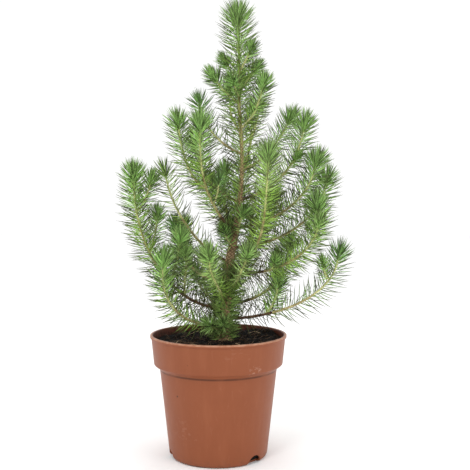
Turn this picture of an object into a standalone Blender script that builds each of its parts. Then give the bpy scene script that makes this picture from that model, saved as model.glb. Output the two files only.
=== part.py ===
"""A young stone pine in its plastic nursery pot: pot, potting soil, trunk, boughs and masses of needles.

The origin is at the middle of the pot's flat underside, +Z up and -Y towards the viewer. Lengths are
in metres, angles in degrees. An azimuth of 0 points along +X, to the right, and 90 along +Y, to the back.
"""

import math
import random
from collections import namedtuple

import bmesh
import bpy
import numpy as np
from mathutils import Matrix, Vector, noise

# The pot: a 13 cm nursery pot with a collar.
POT_HEIGHT = 0.114
RIM_RADIUS = 0.065
RIM_BEAD = 0.0012
RIM_BEAD_HEIGHT = 0.0026
RIM_ROUND = 0.0006
COLLAR_BOTTOM = 0.0865
COLLAR_BOTTOM_RADIUS = 0.0612
STEP_BOTTOM = 0.082
STEP_ROUND = 0.0009
BODY_TOP_RADIUS = 0.0556
BODY_BOTTOM_RADIUS = 0.0462
FOOT_ROUND = 0.004
POT_WALL = 0.0014
POT_FLOOR = 0.0016
FLOOR_EDGE_RADIUS = 0.0424
POT_STEPS = 40
DRAIN_NOTCHES = 3
DRAIN_WIDTH = 0.0165
DRAIN_HEIGHT = 0.0065
DRAIN_INNER_END = 0.0405
DRAIN_FIRST_AZIMUTH = -43.0
DRAIN_STEPS = 40

# The soil that fills the pot.
SOIL_LEVEL = 0.108
SOIL_RELIEF = 0.0022
SOIL_LUMP = 0.011
SOIL_STEPS = 24
SOIL_RINGS = (0.0145, 0.024, 0.034, 0.044, 0.053)
SOIL_FLAT_RADIUS = 0.020
SOIL_EDGE_ROUND = 0.0012

# Neighbouring solids stay this far apart, vertices this close are one, and edges over this angle are sharp.
GAP = 0.0003
WELD = 1e-6
SHARP_ANGLE = 40

# The trunk's axis: height, place in X and Y, and radius there.
TRUNK_STATIONS = (
    (0.1080, 0.0050, 0.0000, 0.0078),
    (0.1125, 0.0052, 0.0000, 0.0062),
    (0.1300, 0.0062, 0.0004, 0.0054),
    (0.1800, 0.0102, 0.0016, 0.0047),
    (0.2130, 0.0166, 0.0020, 0.0038),
    (0.2420, 0.0209, 0.0012, 0.0029),
    (0.2900, 0.0222, -0.0010, 0.0022),
    (0.3350, 0.0196, -0.0010, 0.0017),
    (0.3750, 0.0200, 0.0004, 0.0013),
    (0.4075, 0.0187, 0.0006, 0.0010),
)
TRUNK_POINTS = 24
TRUNK_SIDES = 10
TRUNK_FOOT_STEPS = (0.0, 0.002, 0.005)
CLEARANCE_PAST_TIP = 0.02

# Limbs and needles.
BOUGH_ROOT_RADIUS = 0.0022
BOUGH_LEAST_RADIUS = 0.0015
LONG_SHOOT = 0.130
SHOOT_TIP_RADIUS = 0.0017
TWIG_RADIUS = 0.0018
PATH_STEPS = 12
BOUGH_POINTS = 5
STEM_POINTS = 6
TWIG_POINTS = 4
STRAIGHT_START = 0.003
TUFT_SWEEP = 0.3
SWAY = 0.0022
SWAY_TURN = 1.7
TWIG_SWAY_TURN = 9.0
NEEDLE_LENGTH = 0.0230
LEADER_NEEDLE_LENGTH = 0.0245
SHORT_STEM_SHARE = 0.65
LONG_STEM = 0.060
NEEDLE_RADIUS = 0.00095
NEEDLE_ROOT = 0.0005
NEEDLE_STEP = 0.0032
SLEEVE_NEEDLE_STEP = 0.0012
FEWEST_NEEDLES = 8
FIRST_NEEDLE = 0.0018
LENGTH_SPREAD = (0.92, 1.04)
ANGLE_SPREAD = 5.0
TUFTED = 1.35
GOLDEN_ANGLE = 137.5
BASE_ANGLE = 66.0
TIP_ANGLE = 21.0
OPENING_LENGTH = 0.034
SHORTENED = (1.0, 0.8, 0.62, 0.45)
OWN_SPACE = 0.62
LIMB_CLEARANCE = 0.0008
FORK_LENGTH = 0.003
NEEDLE_CHECKS = 19
SOIL_CLEARANCE = 0.004
SLEEVE_WALL = 0.0018
SLEEVE_POINTS = 5
SLEEVE_SIDES = 8

# One row for each shoot that leaves the trunk: the height where it leaves, its azimuth, how far out
# and how far up its bud lies, how strongly it sweeps up (0 is straight, 1 is a quarter of an ellipse),
# and the share of its length that is a bare bough (0 where its needles start at the trunk).
Shoot = namedtuple("Shoot", "name height azimuth reach rise sweep bare")
SHOOTS = (
    Shoot("low_left", 0.138, 189, 0.087, 0.121, 1.0, 0.22),
    Shoot("low_right", 0.128, -8, 0.107, 0.057, 0.9, 0.20),
    Shoot("foot_left", 0.124, 205, 0.062, 0.055, 1.3, 0.22),
    Shoot("foot_front", 0.146, 250, 0.043, 0.040, 0.5, 0.20),
    Shoot("foot_right", 0.156, -59, 0.035, 0.029, 0.5, 0.0),
    Shoot("right_low", 0.172, -17, 0.087, 0.058, 1.2, 0.22),
    Shoot("right_mid", 0.196, 9, 0.092, 0.060, 0.9, 0.20),
    Shoot("right_high", 0.215, -8, 0.075, 0.057, 0.8, 0.20),
    Shoot("right_top", 0.242, 5, 0.061, 0.066, 0.75, 0.15),
    Shoot("right_inner", 0.270, 29, 0.052, 0.047, 0.45, 0.0),
    Shoot("front_right", 0.170, -51, 0.058, 0.105, 1.0, 0.24),
    Shoot("front_left", 0.215, 231, 0.052, 0.088, 1.0, 0.20),
    Shoot("left_mid", 0.182, 171, 0.062, 0.080, 0.6, 0.25),
    Shoot("left_high", 0.286, 154, 0.044, 0.045, 0.6, 0.0),
    Shoot("crown_right", 0.310, -22, 0.022, 0.036, 0.5, 0.0),
    Shoot("crown_left", 0.334, 190, 0.022, 0.021, 0.2, 0.0),
    Shoot("crown_front", 0.340, 252, 0.016, 0.010, 0.2, 0.0),
    Shoot("top_right", 0.348, 28, 0.017, 0.018, 0.2, 0.0),
    Shoot("top_left", 0.357, 153, 0.013, 0.015, 0.2, 0.0),
    Shoot("top_front", 0.365, -45, 0.013, 0.015, 0.2, 0.0),
    Shoot("back_low_left", 0.132, 112, 0.064, 0.046, 1.1, 0.22),
    Shoot("back_low_right", 0.142, 42, 0.089, 0.048, 1.1, 0.22),
    Shoot("back_left", 0.162, 128, 0.086, 0.046, 1.0, 0.22),
    Shoot("back_right", 0.186, 64, 0.090, 0.054, 1.0, 0.22),
    Shoot("back_mid", 0.206, 98, 0.073, 0.060, 0.9, 0.20),
    Shoot("back_high", 0.240, 143, 0.056, 0.054, 0.7, 0.20),
    Shoot("back_top", 0.262, 75, 0.042, 0.066, 0.5, 0.0),
    Shoot("back_upper_right", 0.294, 62, 0.038, 0.036, 0.5, 0.0),
    Shoot("back_upper_left", 0.304, 112, 0.031, 0.040, 0.5, 0.0),
    Shoot("back_crown", 0.330, 82, 0.022, 0.027, 0.3, 0.0),
    Shoot("back_inner_low", 0.160, 86, 0.036, 0.048, 0.5, 0.0),
    Shoot("back_inner_high", 0.222, 84, 0.034, 0.048, 0.5, 0.0),
)

# Side twigs of those shoots: the share of the shoot's length where the twig leaves, then as above.
Twig = namedtuple("Twig", "shoot at azimuth reach rise sweep")
TWIGS = (
    Twig("low_left", 0.30, 290, 0.004, 0.036, 0.3),
    Twig("low_left", 0.42, 335, 0.011, 0.038, 0.3),
    Twig("low_left", 0.62, 60, 0.011, 0.032, 0.4),
    Twig("low_left", 0.85, 15, 0.013, 0.026, 0.4),
    Twig("low_right", 0.24, 5, 0.013, 0.026, 0.6),
    Twig("low_right", 0.78, 220, 0.007, 0.012, 0.3),
    Twig("foot_front", 0.42, 170, 0.009, 0.024, 0.4),
    Twig("right_low", 0.30, 285, 0.011, 0.006, 0.4),
    Twig("right_low", 0.72, 300, 0.009, 0.014, 0.4),
    Twig("right_high", 0.44, 150, 0.008, 0.012, 0.3),
    Twig("right_top", 0.64, 300, 0.008, 0.004, 0.3),
    Twig("front_left", 0.60, 160, 0.028, 0.056, 0.7),
    Twig("front_left", 0.46, 300, 0.010, 0.018, 0.3),
    Twig("back_left", 0.55, 200, 0.014, 0.034, 0.5),
    Twig("back_right", 0.60, 5, 0.014, 0.036, 0.5),
    Twig("back_low_right", 0.55, 80, 0.012, 0.022, 0.5),
    Twig("back_mid", 0.48, 50, 0.016, 0.026, 0.5),
    Twig("back_mid", 0.66, 150, 0.014, 0.022, 0.5),
    Twig("back_right", 0.38, 100, 0.012, 0.026, 0.5),
    Twig("back_left", 0.76, 80, 0.012, 0.022, 0.5),
    Twig("back_low_left", 0.50, 160, 0.014, 0.020, 0.5),
)

# Needles stand on the trunk itself above this height, on sleeves between the shoots that leave it.
SLEEVES_FROM = 0.214
LEADER_FROM = 0.390
SLEEVE_ABOVE_SHOOT = 0.0085
SLEEVE_BELOW_SHOOT = 0.0035
SLEEVE_BELOW_TIP = 0.0010
SHORTEST_SLEEVE = 0.0075

# Short tufts low on the trunk: name, height, azimuth, reach, rise.
TUFTS = (
    ("tuft_foot_front", 0.1175, 268, 0.014, 0.007),
    ("tuft_foot_left", 0.1165, 230, 0.019, 0.007),
    ("tuft_front_low", 0.1970, 235, 0.012, 0.013),
    ("tuft_front_high", 0.2100, -62, 0.014, 0.016),
)

for old in list(bpy.data.objects):
    bpy.data.objects.remove(old, do_unlink=True)

PARTS = bpy.data.collections.new("potted_stone_pine")
CUTTERS = bpy.data.collections.new("cutters")
bpy.context.scene.collection.children.link(PARTS)
bpy.context.scene.collection.children.link(CUTTERS)


def material(name, colour, roughness):
    made = bpy.data.materials.new(name)
    made.use_nodes = True
    shader = made.node_tree.nodes["Principled BSDF"]
    shader.inputs["Base Color"].default_value = (*colour, 1.0)
    shader.inputs["Roughness"].default_value = roughness
    shader.inputs["Metallic"].default_value = 0.0
    return made


TERRACOTTA_PLASTIC = material("terracotta_plastic", (0.352, 0.122, 0.061), 0.45)
POTTING_SOIL = material("potting_soil", (0.018, 0.012, 0.008), 0.95)
BARK = material("bark", (0.220, 0.115, 0.047), 0.85)
NEEDLE_GREEN = material("needle_green", (0.105, 0.235, 0.060), 0.50)


def link(name, mesh, collection, finish=None):
    thing = bpy.data.objects.new(name, mesh)
    collection.objects.link(thing)
    if finish:
        mesh.materials.clear()
        mesh.materials.append(finish)
    if collection is CUTTERS:
        thing.hide_render = True
        thing.display_type = "WIRE"
    return thing


def remove(thing):
    bpy.data.objects.remove(thing, do_unlink=True)


def evaluated_mesh(thing):
    """The mesh that an object's modifiers or its curve make, with loose caps welded on."""
    graph = bpy.context.evaluated_depsgraph_get()
    mesh = bpy.data.meshes.new_from_object(thing.evaluated_get(graph))
    shape = bmesh.new()
    shape.from_mesh(mesh)
    bmesh.ops.remove_doubles(shape, verts=shape.verts, dist=WELD)
    shape.to_mesh(mesh)
    shape.free()
    return mesh


def apply_modifiers(thing):
    mesh = evaluated_mesh(thing)
    thing.modifiers.clear()
    thing.data = mesh
    return thing


def boolean(thing, operation, tool):
    """Cuts with an object or joins a collection, with the second solver where the first leaves holes."""
    whole = thing.data.copy()
    for solver in ("EXACT", "MANIFOLD"):
        change = thing.modifiers.new(operation.lower(), "BOOLEAN")
        change.operation = operation
        change.solver = solver
        if isinstance(tool, bpy.types.Collection):
            change.operand_type = "COLLECTION"
            change.collection = tool
        else:
            change.object = tool
        if is_closed(apply_modifiers(thing).data):
            break
        thing.data = whole.copy()
    return thing


def is_closed(mesh):
    shape = bmesh.new()
    shape.from_mesh(mesh)
    closed = all(edge.is_manifold for edge in shape.edges)
    shape.free()
    return closed


def turned(name, profile, steps, finish):
    """A solid turned about the Z axis from its profile, a list of (radius, height)."""
    mesh = bpy.data.meshes.new(name)
    mesh.from_pydata([(r, 0, z) for r, z in profile], [(i, i + 1) for i in range(len(profile) - 1)], [])
    thing = link(name, mesh, PARTS, finish)
    screw = thing.modifiers.new("turn", "SCREW")
    screw.steps = screw.render_steps = steps
    screw.use_merge_vertices = True
    screw.merge_threshold = WELD
    return apply_modifiers(thing)


def shade(thing):
    thing.data.shade_smooth()
    thing.data.set_sharp_from_angle(angle=math.radians(SHARP_ANGLE))


def body_radius(z):
    """The pot body's outer radius at a height below the collar."""
    return BODY_BOTTOM_RADIUS + (BODY_TOP_RADIUS - BODY_BOTTOM_RADIUS) * z / STEP_BOTTOM


def inner_wall():
    """The pot's inner wall from the floor's edge up to just below the rim, as (radius, height)."""
    ledge = STEP_BOTTOM + POT_WALL
    return [
        (FLOOR_EDGE_RADIUS, POT_FLOOR),
        (body_radius(FOOT_ROUND) - POT_WALL, FOOT_ROUND),
        (body_radius(ledge) - POT_WALL, ledge),
        (COLLAR_BOTTOM_RADIUS - POT_WALL, COLLAR_BOTTOM + POT_WALL),
        (RIM_RADIUS - RIM_BEAD - POT_WALL, POT_HEIGHT - RIM_ROUND),
    ]


def make_pot():
    foot_centre = body_radius(FOOT_ROUND) - FOOT_ROUND
    foot_arc = [
        (
            foot_centre + FOOT_ROUND * math.cos(math.radians(a)),
            FOOT_ROUND - FOOT_ROUND * math.sin(math.radians(a)),
        )
        for a in (0, 30, 60, 90)
    ]
    profile = [
        (0, POT_FLOOR),
        *inner_wall(),
        (RIM_RADIUS - RIM_BEAD - POT_WALL + RIM_ROUND, POT_HEIGHT),
        (RIM_RADIUS - RIM_ROUND, POT_HEIGHT),
        (RIM_RADIUS, POT_HEIGHT - RIM_ROUND),
        (RIM_RADIUS, POT_HEIGHT - RIM_BEAD_HEIGHT + RIM_ROUND),
        (RIM_RADIUS - RIM_BEAD, POT_HEIGHT - RIM_BEAD_HEIGHT),
        (COLLAR_BOTTOM_RADIUS, COLLAR_BOTTOM + STEP_ROUND),
        (COLLAR_BOTTOM_RADIUS - STEP_ROUND, COLLAR_BOTTOM),
        (BODY_TOP_RADIUS + STEP_ROUND, STEP_BOTTOM + STEP_ROUND),
        (body_radius(STEP_BOTTOM), STEP_BOTTOM - STEP_ROUND),
        *foot_arc,
        (0, 0),
    ]
    pot = turned("pot", profile, POT_STEPS, TERRACOTTA_PLASTIC)
    length = BODY_TOP_RADIUS - DRAIN_INNER_END
    arch_radius = (DRAIN_WIDTH**2 / 4 + DRAIN_HEIGHT**2) / (2 * DRAIN_HEIGHT)
    for i in range(DRAIN_NOTCHES):
        bpy.ops.mesh.primitive_cylinder_add(vertices=DRAIN_STEPS, radius=arch_radius, depth=length)
        notch = bpy.context.object
        azimuth = math.radians(DRAIN_FIRST_AZIMUTH + i * 360 / DRAIN_NOTCHES)
        notch.matrix_world = (
            Matrix.Rotation(azimuth, 4, "Z")
            @ Matrix.Translation((DRAIN_INNER_END + length / 2, 0, DRAIN_HEIGHT - arch_radius))
            @ Matrix.Rotation(math.radians(90), 4, "Y")
        )
        boolean(pot, "DIFFERENCE", notch)
        remove(notch)
    shade(pot)


def make_soil():
    """The soil fills the pot to below its rim, with a lumpy top that is flat under the trunk's foot."""
    top = [(0, SOIL_LEVEL)] + [(radius, SOIL_LEVEL) for radius in SOIL_RINGS]
    floor, *wall, rim = [(radius - 2 * GAP, height) for radius, height in inner_wall()]
    sides = [(rim[0] - SOIL_EDGE_ROUND, SOIL_LEVEL - SOIL_EDGE_ROUND), *reversed(wall)]
    low = POT_FLOOR + GAP
    soil = turned("soil", [*top, *sides, (floor[0], low), (0, low)], SOIL_STEPS, POTTING_SOIL)
    foot = trunk_at(SOIL_LEVEL)[0]
    for vertex in soil.data.vertices:
        place = vertex.co
        if place.z < SOIL_LEVEL - SOIL_EDGE_ROUND / 2:
            continue
        fade = ((place - foot).xy.length - SOIL_FLAT_RADIUS) / SOIL_LUMP
        lump = noise.noise(Vector((place.x, place.y, 0.0)) / SOIL_LUMP)
        place.z += min(1.0, max(0.0, fade)) * SOIL_RELIEF * lump - GAP
    shade(soil)


def between(stations, height):
    """Catmull-Rom through the stations' values at a height."""
    last = len(stations) - 1
    i = max(k for k in range(last) if stations[k][0] <= height or k == 0)
    a, b, c, d = (np.array(stations[min(max(k, 0), last)]) for k in (i - 1, i, i + 1, i + 2))
    t = (height - b[0]) / (c[0] - b[0])
    slope_b = (c - a) / max(c[0] - a[0], 1e-9) * (c[0] - b[0])
    slope_c = (d - b) / max(d[0] - b[0], 1e-9) * (c[0] - b[0])
    h = (2 * t**3 - 3 * t**2 + 1, t**3 - 2 * t**2 + t, 3 * t**2 - 2 * t**3, t**3 - t**2)
    return h[0] * b + h[1] * slope_b + h[2] * c + h[3] * slope_c


def trunk_at(height):
    """The trunk's axis point and radius at a height."""
    _, x, y, radius = between(TRUNK_STATIONS, height)
    return Vector((x, y, height)), float(radius)


def limb(name, points, radii, collection, finish, sides=4):
    """A tapering tube with flat ends along points, as a closed mesh with an even number of sides."""
    curve = bpy.data.curves.new(name, "CURVE")
    curve.dimensions = "3D"
    curve.bevel_depth = 1.0
    curve.bevel_resolution = (sides - 4) // 2
    curve.use_fill_caps = True
    spline = curve.splines.new("POLY")
    spline.points.add(len(points) - 1)
    for target, place, radius in zip(spline.points, points, radii):
        target.co = (*place, 1.0)
        target.radius = radius
    tube = link(name, curve, CUTTERS)
    mesh = evaluated_mesh(tube)
    remove(tube)
    return link(name, mesh, collection, finish)


def trunk_span(low, high, count):
    heights = np.linspace(low, high, count)
    return [trunk_at(h) for h in heights]


def make_trunk():
    """The whole trunk, from its flat cut at the soil through its root flare to its tip."""
    low, high = TRUNK_STATIONS[0][0], TRUNK_STATIONS[-1][0]
    heights = [low + step for step in TRUNK_FOOT_STEPS[:-1]]
    heights += list(np.linspace(low + TRUNK_FOOT_STEPS[-1], high, TRUNK_POINTS - len(heights)))
    spots = [trunk_at(height) for height in heights]
    points, radii = [spot for spot, _ in spots], [radius for _, radius in spots]
    shade(limb("trunk", points, radii, PARTS, BARK, TRUNK_SIDES))
    below = points[0] - Vector((0, 0, GAP))
    above = points[-1] + Vector((0, 0, CLEARANCE_PAST_TIP))
    wider = [radii[0] + GAP, *[radius + GAP for radius in radii], radii[-1] + GAP]
    return limb("trunk_clearance", [below, *points, above], wider, CUTTERS, None, TRUNK_SIDES)


def size_share(reach, rise):
    """How large a shoot is, from 0 up to 1 for the long ones."""
    return min(1.0, (reach + rise) / LONG_SHOOT)


def path_of(start, azimuth, reach, rise, sweep, phase, steps):
    """A shoot's axis: out from its start, then sweeping up to its bud, with a little sway."""
    out = Vector((math.cos(math.radians(azimuth)), math.sin(math.radians(azimuth)), 0))
    side = Vector((-out.y, out.x, 0))
    sway = SWAY * size_share(reach, rise)
    points = []
    for i in range(steps + 1):
        t = i / steps
        quarter = t * math.pi / 2
        outward = (1 - sweep) * t + sweep * math.sin(quarter)
        upward = (1 - sweep) * t + sweep * (1 - math.cos(quarter))
        bend = sway * math.sin(math.pi * 2 * t + phase) * math.sin(math.pi * t)
        points.append(start + out * (reach * outward) + Vector((0, 0, rise * upward)) + side * bend)
    return points


def point_along(points, share):
    """The point at a share of the path's steps."""
    place = share * (len(points) - 1)
    i = min(int(place), len(points) - 2)
    return points[i].lerp(points[i + 1], place - i)


def stretch(points, start, end, count):
    return [point_along(points, start + (end - start) * i / (count - 1)) for i in range(count)]


def tapered(root, tip, count):
    return [root + (tip - root) * i / (count - 1) for i in range(count)]


def gaps_to(places, starts, ends, start_radii, end_radii):
    """The distance from each place to the surface of the nearest of some straight tapered limbs."""
    spans = ends - starts
    offsets = places[:, None, :] - starts[None]
    share = np.clip((offsets * spans).sum(-1) / (spans * spans).sum(-1), 0, 1)
    gaps = np.linalg.norm(offsets - share[..., None] * spans, axis=-1)
    gaps -= start_radii + share * (end_radii - start_radii)
    return gaps.min(axis=1)


def gaps_to_path(places, points, radii):
    points, radii = np.array(points), np.array(radii)
    return gaps_to(places, points[:-1], points[1:], radii[:-1], radii[1:])


def needle_mesh():
    """A three-sided spike one metre long, from the origin along +Z, with a base radius of one metre."""
    mesh = bpy.data.meshes.new("needle")
    shape = bmesh.new()
    bmesh.ops.create_cone(
        shape, cap_ends=True, segments=3, radius1=1, radius2=0, depth=1,
        matrix=Matrix.Translation((0, 0, 0.5)),
    )
    bmesh.ops.remove_doubles(shape, verts=shape.verts, dist=WELD)
    shape.to_mesh(mesh)
    shape.free()
    return mesh


SPIKE = needle_mesh()

# Each stem that bears needles: the mass it belongs to, its path and radii, and whether it is a sleeve.
Stem = namedtuple("Stem", "mass points radii is_sleeve")
STEMS = []
BOUGHS = []


def plan_limbs():
    """Fills STEMS and BOUGHS from the tables, with each shoot's bare part split off as a bough."""
    for number, shoot in enumerate(SHOOTS):
        start, _ = trunk_at(shoot.height)
        large = size_share(shoot.reach, shoot.rise)
        root = BOUGH_LEAST_RADIUS + (BOUGH_ROOT_RADIUS - BOUGH_LEAST_RADIUS) * large
        shape = (start, shoot.azimuth, shoot.reach, shoot.rise, shoot.sweep)
        points = path_of(*shape, number * SWAY_TURN, PATH_STEPS)
        split = root + (SHOOT_TIP_RADIUS - root) * shoot.bare
        stem = stretch(points, shoot.bare, 1, STEM_POINTS)
        if shoot.bare:
            bough = stretch(points, 0, shoot.bare, BOUGH_POINTS)
            BOUGHS.append((shoot.name + "_bough", bough, tapered(root, split, BOUGH_POINTS)))
            ahead = (bough[-1] - bough[-2]).normalized()
            stem[0] = bough[-1] + ahead * GAP
            stem[1:1] = [stem[0] + ahead * STRAIGHT_START]
        mass = shoot.name + "_needles"
        STEMS.append(Stem(mass, stem, tapered(split, SHOOT_TIP_RADIUS, len(stem)), False))
        for twig in TWIGS:
            if twig.shoot == shoot.name:
                shape = (point_along(points, twig.at), twig.azimuth, twig.reach, twig.rise, twig.sweep)
                plan_twig(mass, path_of(*shape, twig.at * TWIG_SWAY_TURN, TWIG_POINTS - 1))
    for name, height, azimuth, reach, rise in TUFTS:
        start, _ = trunk_at(height)
        plan_twig(name, path_of(start, azimuth, reach, rise, TUFT_SWEEP, height, TWIG_POINTS - 1))
    for number, (low, high) in enumerate(sleeve_spans(), 1):
        spots = trunk_span(low, high, SLEEVE_POINTS)
        radii = [radius + GAP + SLEEVE_WALL for _, radius in spots]
        STEMS.append(Stem(f"trunk_needles_{number}", [spot for spot, _ in spots], radii, True))


def plan_twig(mass, points):
    STEMS.append(Stem(mass, points, tapered(TWIG_RADIUS, SHOOT_TIP_RADIUS, TWIG_POINTS), False))


def sleeve_spans():
    """The stretches of the trunk between the shoots, from low to high, that are long enough for a sleeve."""
    starts = sorted(shoot.height for shoot in SHOOTS if shoot.height >= SLEEVES_FROM)
    tip = TRUNK_STATIONS[-1][0] - SLEEVE_BELOW_TIP + SLEEVE_BELOW_SHOOT
    spans = [
        (low + SLEEVE_ABOVE_SHOOT, high - SLEEVE_BELOW_SHOOT)
        for low, high in zip(starts, starts[1:] + [tip])
    ]
    return [span for span in spans if span[1] - span[0] > SHORTEST_SLEEVE]


def on_trunk(stem):
    """Whether a stem starts inside the trunk, which is then cut out of it."""
    spot, radius = trunk_at(stem.points[0].z)
    return not stem.is_sleeve and (stem.points[0] - spot).length < radius


def needles_of(stem, is_clear, draw):
    """The roots, headings and lengths of a stem's needles, in a golden-angle spiral that opens up.

    A needle that would leave the mass's own space, touch a limb or reach the soil is made shorter,
    and is skipped where even the shortest does.
    """
    points = np.array(stem.points)
    done = np.r_[0, np.cumsum(np.linalg.norm(np.diff(points, axis=0), axis=1))]
    begin = FIRST_NEEDLE + (trunk_at(stem.points[0].z)[1] if on_trunk(stem) else 0)
    length = done[-1] - begin
    step = SLEEVE_NEEDLE_STEP if stem.is_sleeve else NEEDLE_STEP
    grown = min(1.0, SHORT_STEM_SHARE + (1 - SHORT_STEM_SHARE) * done[-1] / LONG_STEM)
    if stem.is_sleeve:
        grown = 1.0
    longest = LEADER_NEEDLE_LENGTH if stem.points[-1].z > LEADER_FROM else NEEDLE_LENGTH * grown
    count = max(FEWEST_NEEDLES, round(length / step))
    turn = draw.uniform(0, 360)
    found = []
    for k in range(count):
        along = done[-1] - length * (1 - (k + 0.5) / count) ** TUFTED
        i = int(np.searchsorted(done[1:-1], along))
        axis = Vector(points[i + 1] - points[i]).normalized()
        across = axis.orthogonal().normalized()
        across.rotate(Matrix.Rotation(math.radians(turn + k * GOLDEN_ANGLE), 3, axis))
        opened = min(1.0, (done[-1] - along) / OPENING_LENGTH)
        angle = TIP_ANGLE + (BASE_ANGLE - TIP_ANGLE) * opened + draw.uniform(-ANGLE_SPREAD, ANGLE_SPREAD)
        heading = axis * math.cos(math.radians(angle)) + across * math.sin(math.radians(angle))
        full = longest * draw.uniform(*LENGTH_SPREAD)
        out = np.interp(along, done, stem.radii) - SLEEVE_WALL / 2 if stem.is_sleeve else NEEDLE_ROOT
        root = Vector(points[i]) + axis * (along - done[i] - NEEDLE_RADIUS) + across * out
        for share in SHORTENED:
            if is_clear(root, heading, full * share):
                found.append((root, heading, full * share))
                break
    return found


class Space:
    """What the needles of each mass have to keep clear of."""

    def __init__(self):
        trunk = trunk_span(TRUNK_STATIONS[0][0], TRUNK_STATIONS[-1][0], TRUNK_POINTS)
        self.limbs = [([spot for spot, _ in trunk], [radius for _, radius in trunk])]
        self.limbs += [(points, radii) for _, points, radii in BOUGHS]
        self.needles = []

    def clear_of(self, stem):
        """A test of whether a needle of this stem (root, heading, length) is clear of the rest."""
        siblings = [other for other in STEMS if other is not stem and other.mass == stem.mass]
        strangers = [other for other in STEMS if other.mass != stem.mass]
        starts = np.array([root for root, _, _ in self.needles]).reshape(-1, 3)
        ends = np.array([root + heading * length for root, heading, length in self.needles]).reshape(-1, 3)
        root_radii, tip_radii = np.full(len(starts), NEEDLE_RADIUS), np.zeros(len(starts))
        shares = np.linspace(0.0, 1.0, NEEDLE_CHECKS)
        reserve = NEEDLE_RADIUS * (1 - shares) + LIMB_CLEARANCE

        def is_clear(root, heading, length):
            places = np.array([root + heading * (length * share) for share in shares])
            own = gaps_to_path(places, stem.points, stem.radii)
            if (places[own > 0, 2] < SOIL_LEVEL + SOIL_CLEARANCE).any():
                return False
            for points, radii in self.limbs:
                if (gaps_to_path(places, points, radii) < reserve)[own > LIMB_CLEARANCE].any():
                    return False
            for other in siblings:
                if (gaps_to_path(places, other.points, other.radii) < reserve)[own > FORK_LENGTH].any():
                    return False
            for other in strangers:
                near = gaps_to_path(places, other.points, other.radii)
                if (near < OWN_SPACE * own).any() or (near < reserve).any():
                    return False
            if not self.needles:
                return True
            return (gaps_to(places, starts, ends, root_radii, tip_radii) > reserve).all()

        return is_clear


def make_mass(name, space, clearance, draw):
    """One mass of needles: its stems with their needles fused on, cut clear of the trunk."""
    stems = [stem for stem in STEMS if stem.mass == name]
    main = stems[0]
    core = limb(name, main.points, main.radii, PARTS, NEEDLE_GREEN, SLEEVE_SIDES if main.is_sleeve else 4)
    fused = bpy.data.collections.new(name + "_fused")
    bpy.context.scene.collection.children.link(fused)
    for stem in stems[1:]:
        limb(name + "_twig", stem.points, stem.radii, fused, None)
    for stem in stems:
        found = needles_of(stem, space.clear_of(stem), draw)
        space.needles += found
        for root, heading, length in found:
            needle = link("needle", SPIKE, fused)
            turn = heading.to_track_quat("Z", "Y").to_matrix().to_4x4()
            size = Matrix.Diagonal((NEEDLE_RADIUS, NEEDLE_RADIUS, length, 1))
            needle.matrix_world = Matrix.Translation(root) @ turn @ size
    boolean(core, "UNION", fused)
    for thing in list(fused.objects):
        remove(thing)
    bpy.data.collections.remove(fused)
    if main.is_sleeve or on_trunk(main):
        boolean(core, "DIFFERENCE", clearance)
    keep_largest_body(core)
    core.data.materials.clear()
    core.data.materials.append(NEEDLE_GREEN)


def keep_largest_body(thing):
    """Drops loose scraps and fills sealed hollows: only the outermost shell stays."""
    shape = bmesh.new()
    shape.from_mesh(thing.data)
    bmesh.ops.triangulate(shape, faces=shape.faces)
    shells = []
    unseen = set(shape.faces)
    while unseen:
        shell = {unseen.pop()}
        edge = list(shell)
        while edge:
            near = {f for e in edge.pop().edges for f in e.link_faces} & unseen
            unseen -= near
            shell |= near
            edge.extend(near)
        shells.append(shell)
    shells.sort(key=len)
    for shell in shells[:-1]:
        bmesh.ops.delete(shape, geom=list(shell), context="FACES")
    shape.to_mesh(thing.data)
    shape.free()


make_pot()
make_soil()
CLEARANCE = make_trunk()
plan_limbs()
for bough_name, bough_points, bough_radii in BOUGHS:
    bough = limb(bough_name, bough_points, bough_radii, PARTS, BARK)
    boolean(bough, "DIFFERENCE", CLEARANCE)
    keep_largest_body(bough)
    shade(bough)
SPACE = Space()
for seed, mass_name in enumerate(dict.fromkeys(stem.mass for stem in STEMS)):
    make_mass(mass_name, SPACE, CLEARANCE, random.Random(seed))
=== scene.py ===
"""The looks of a young stone pine growing in a plastic nursery pot.

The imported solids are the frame. Lengths are in metres, angles in degrees and phases in radians. +Z is up,
and -Y points at the viewer. An azimuth of 0 points along +X and 90 along +Y.
"""

import math
import random

import bmesh
import bpy
import numpy as np
from mathutils import Matrix, Vector, noise


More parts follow.
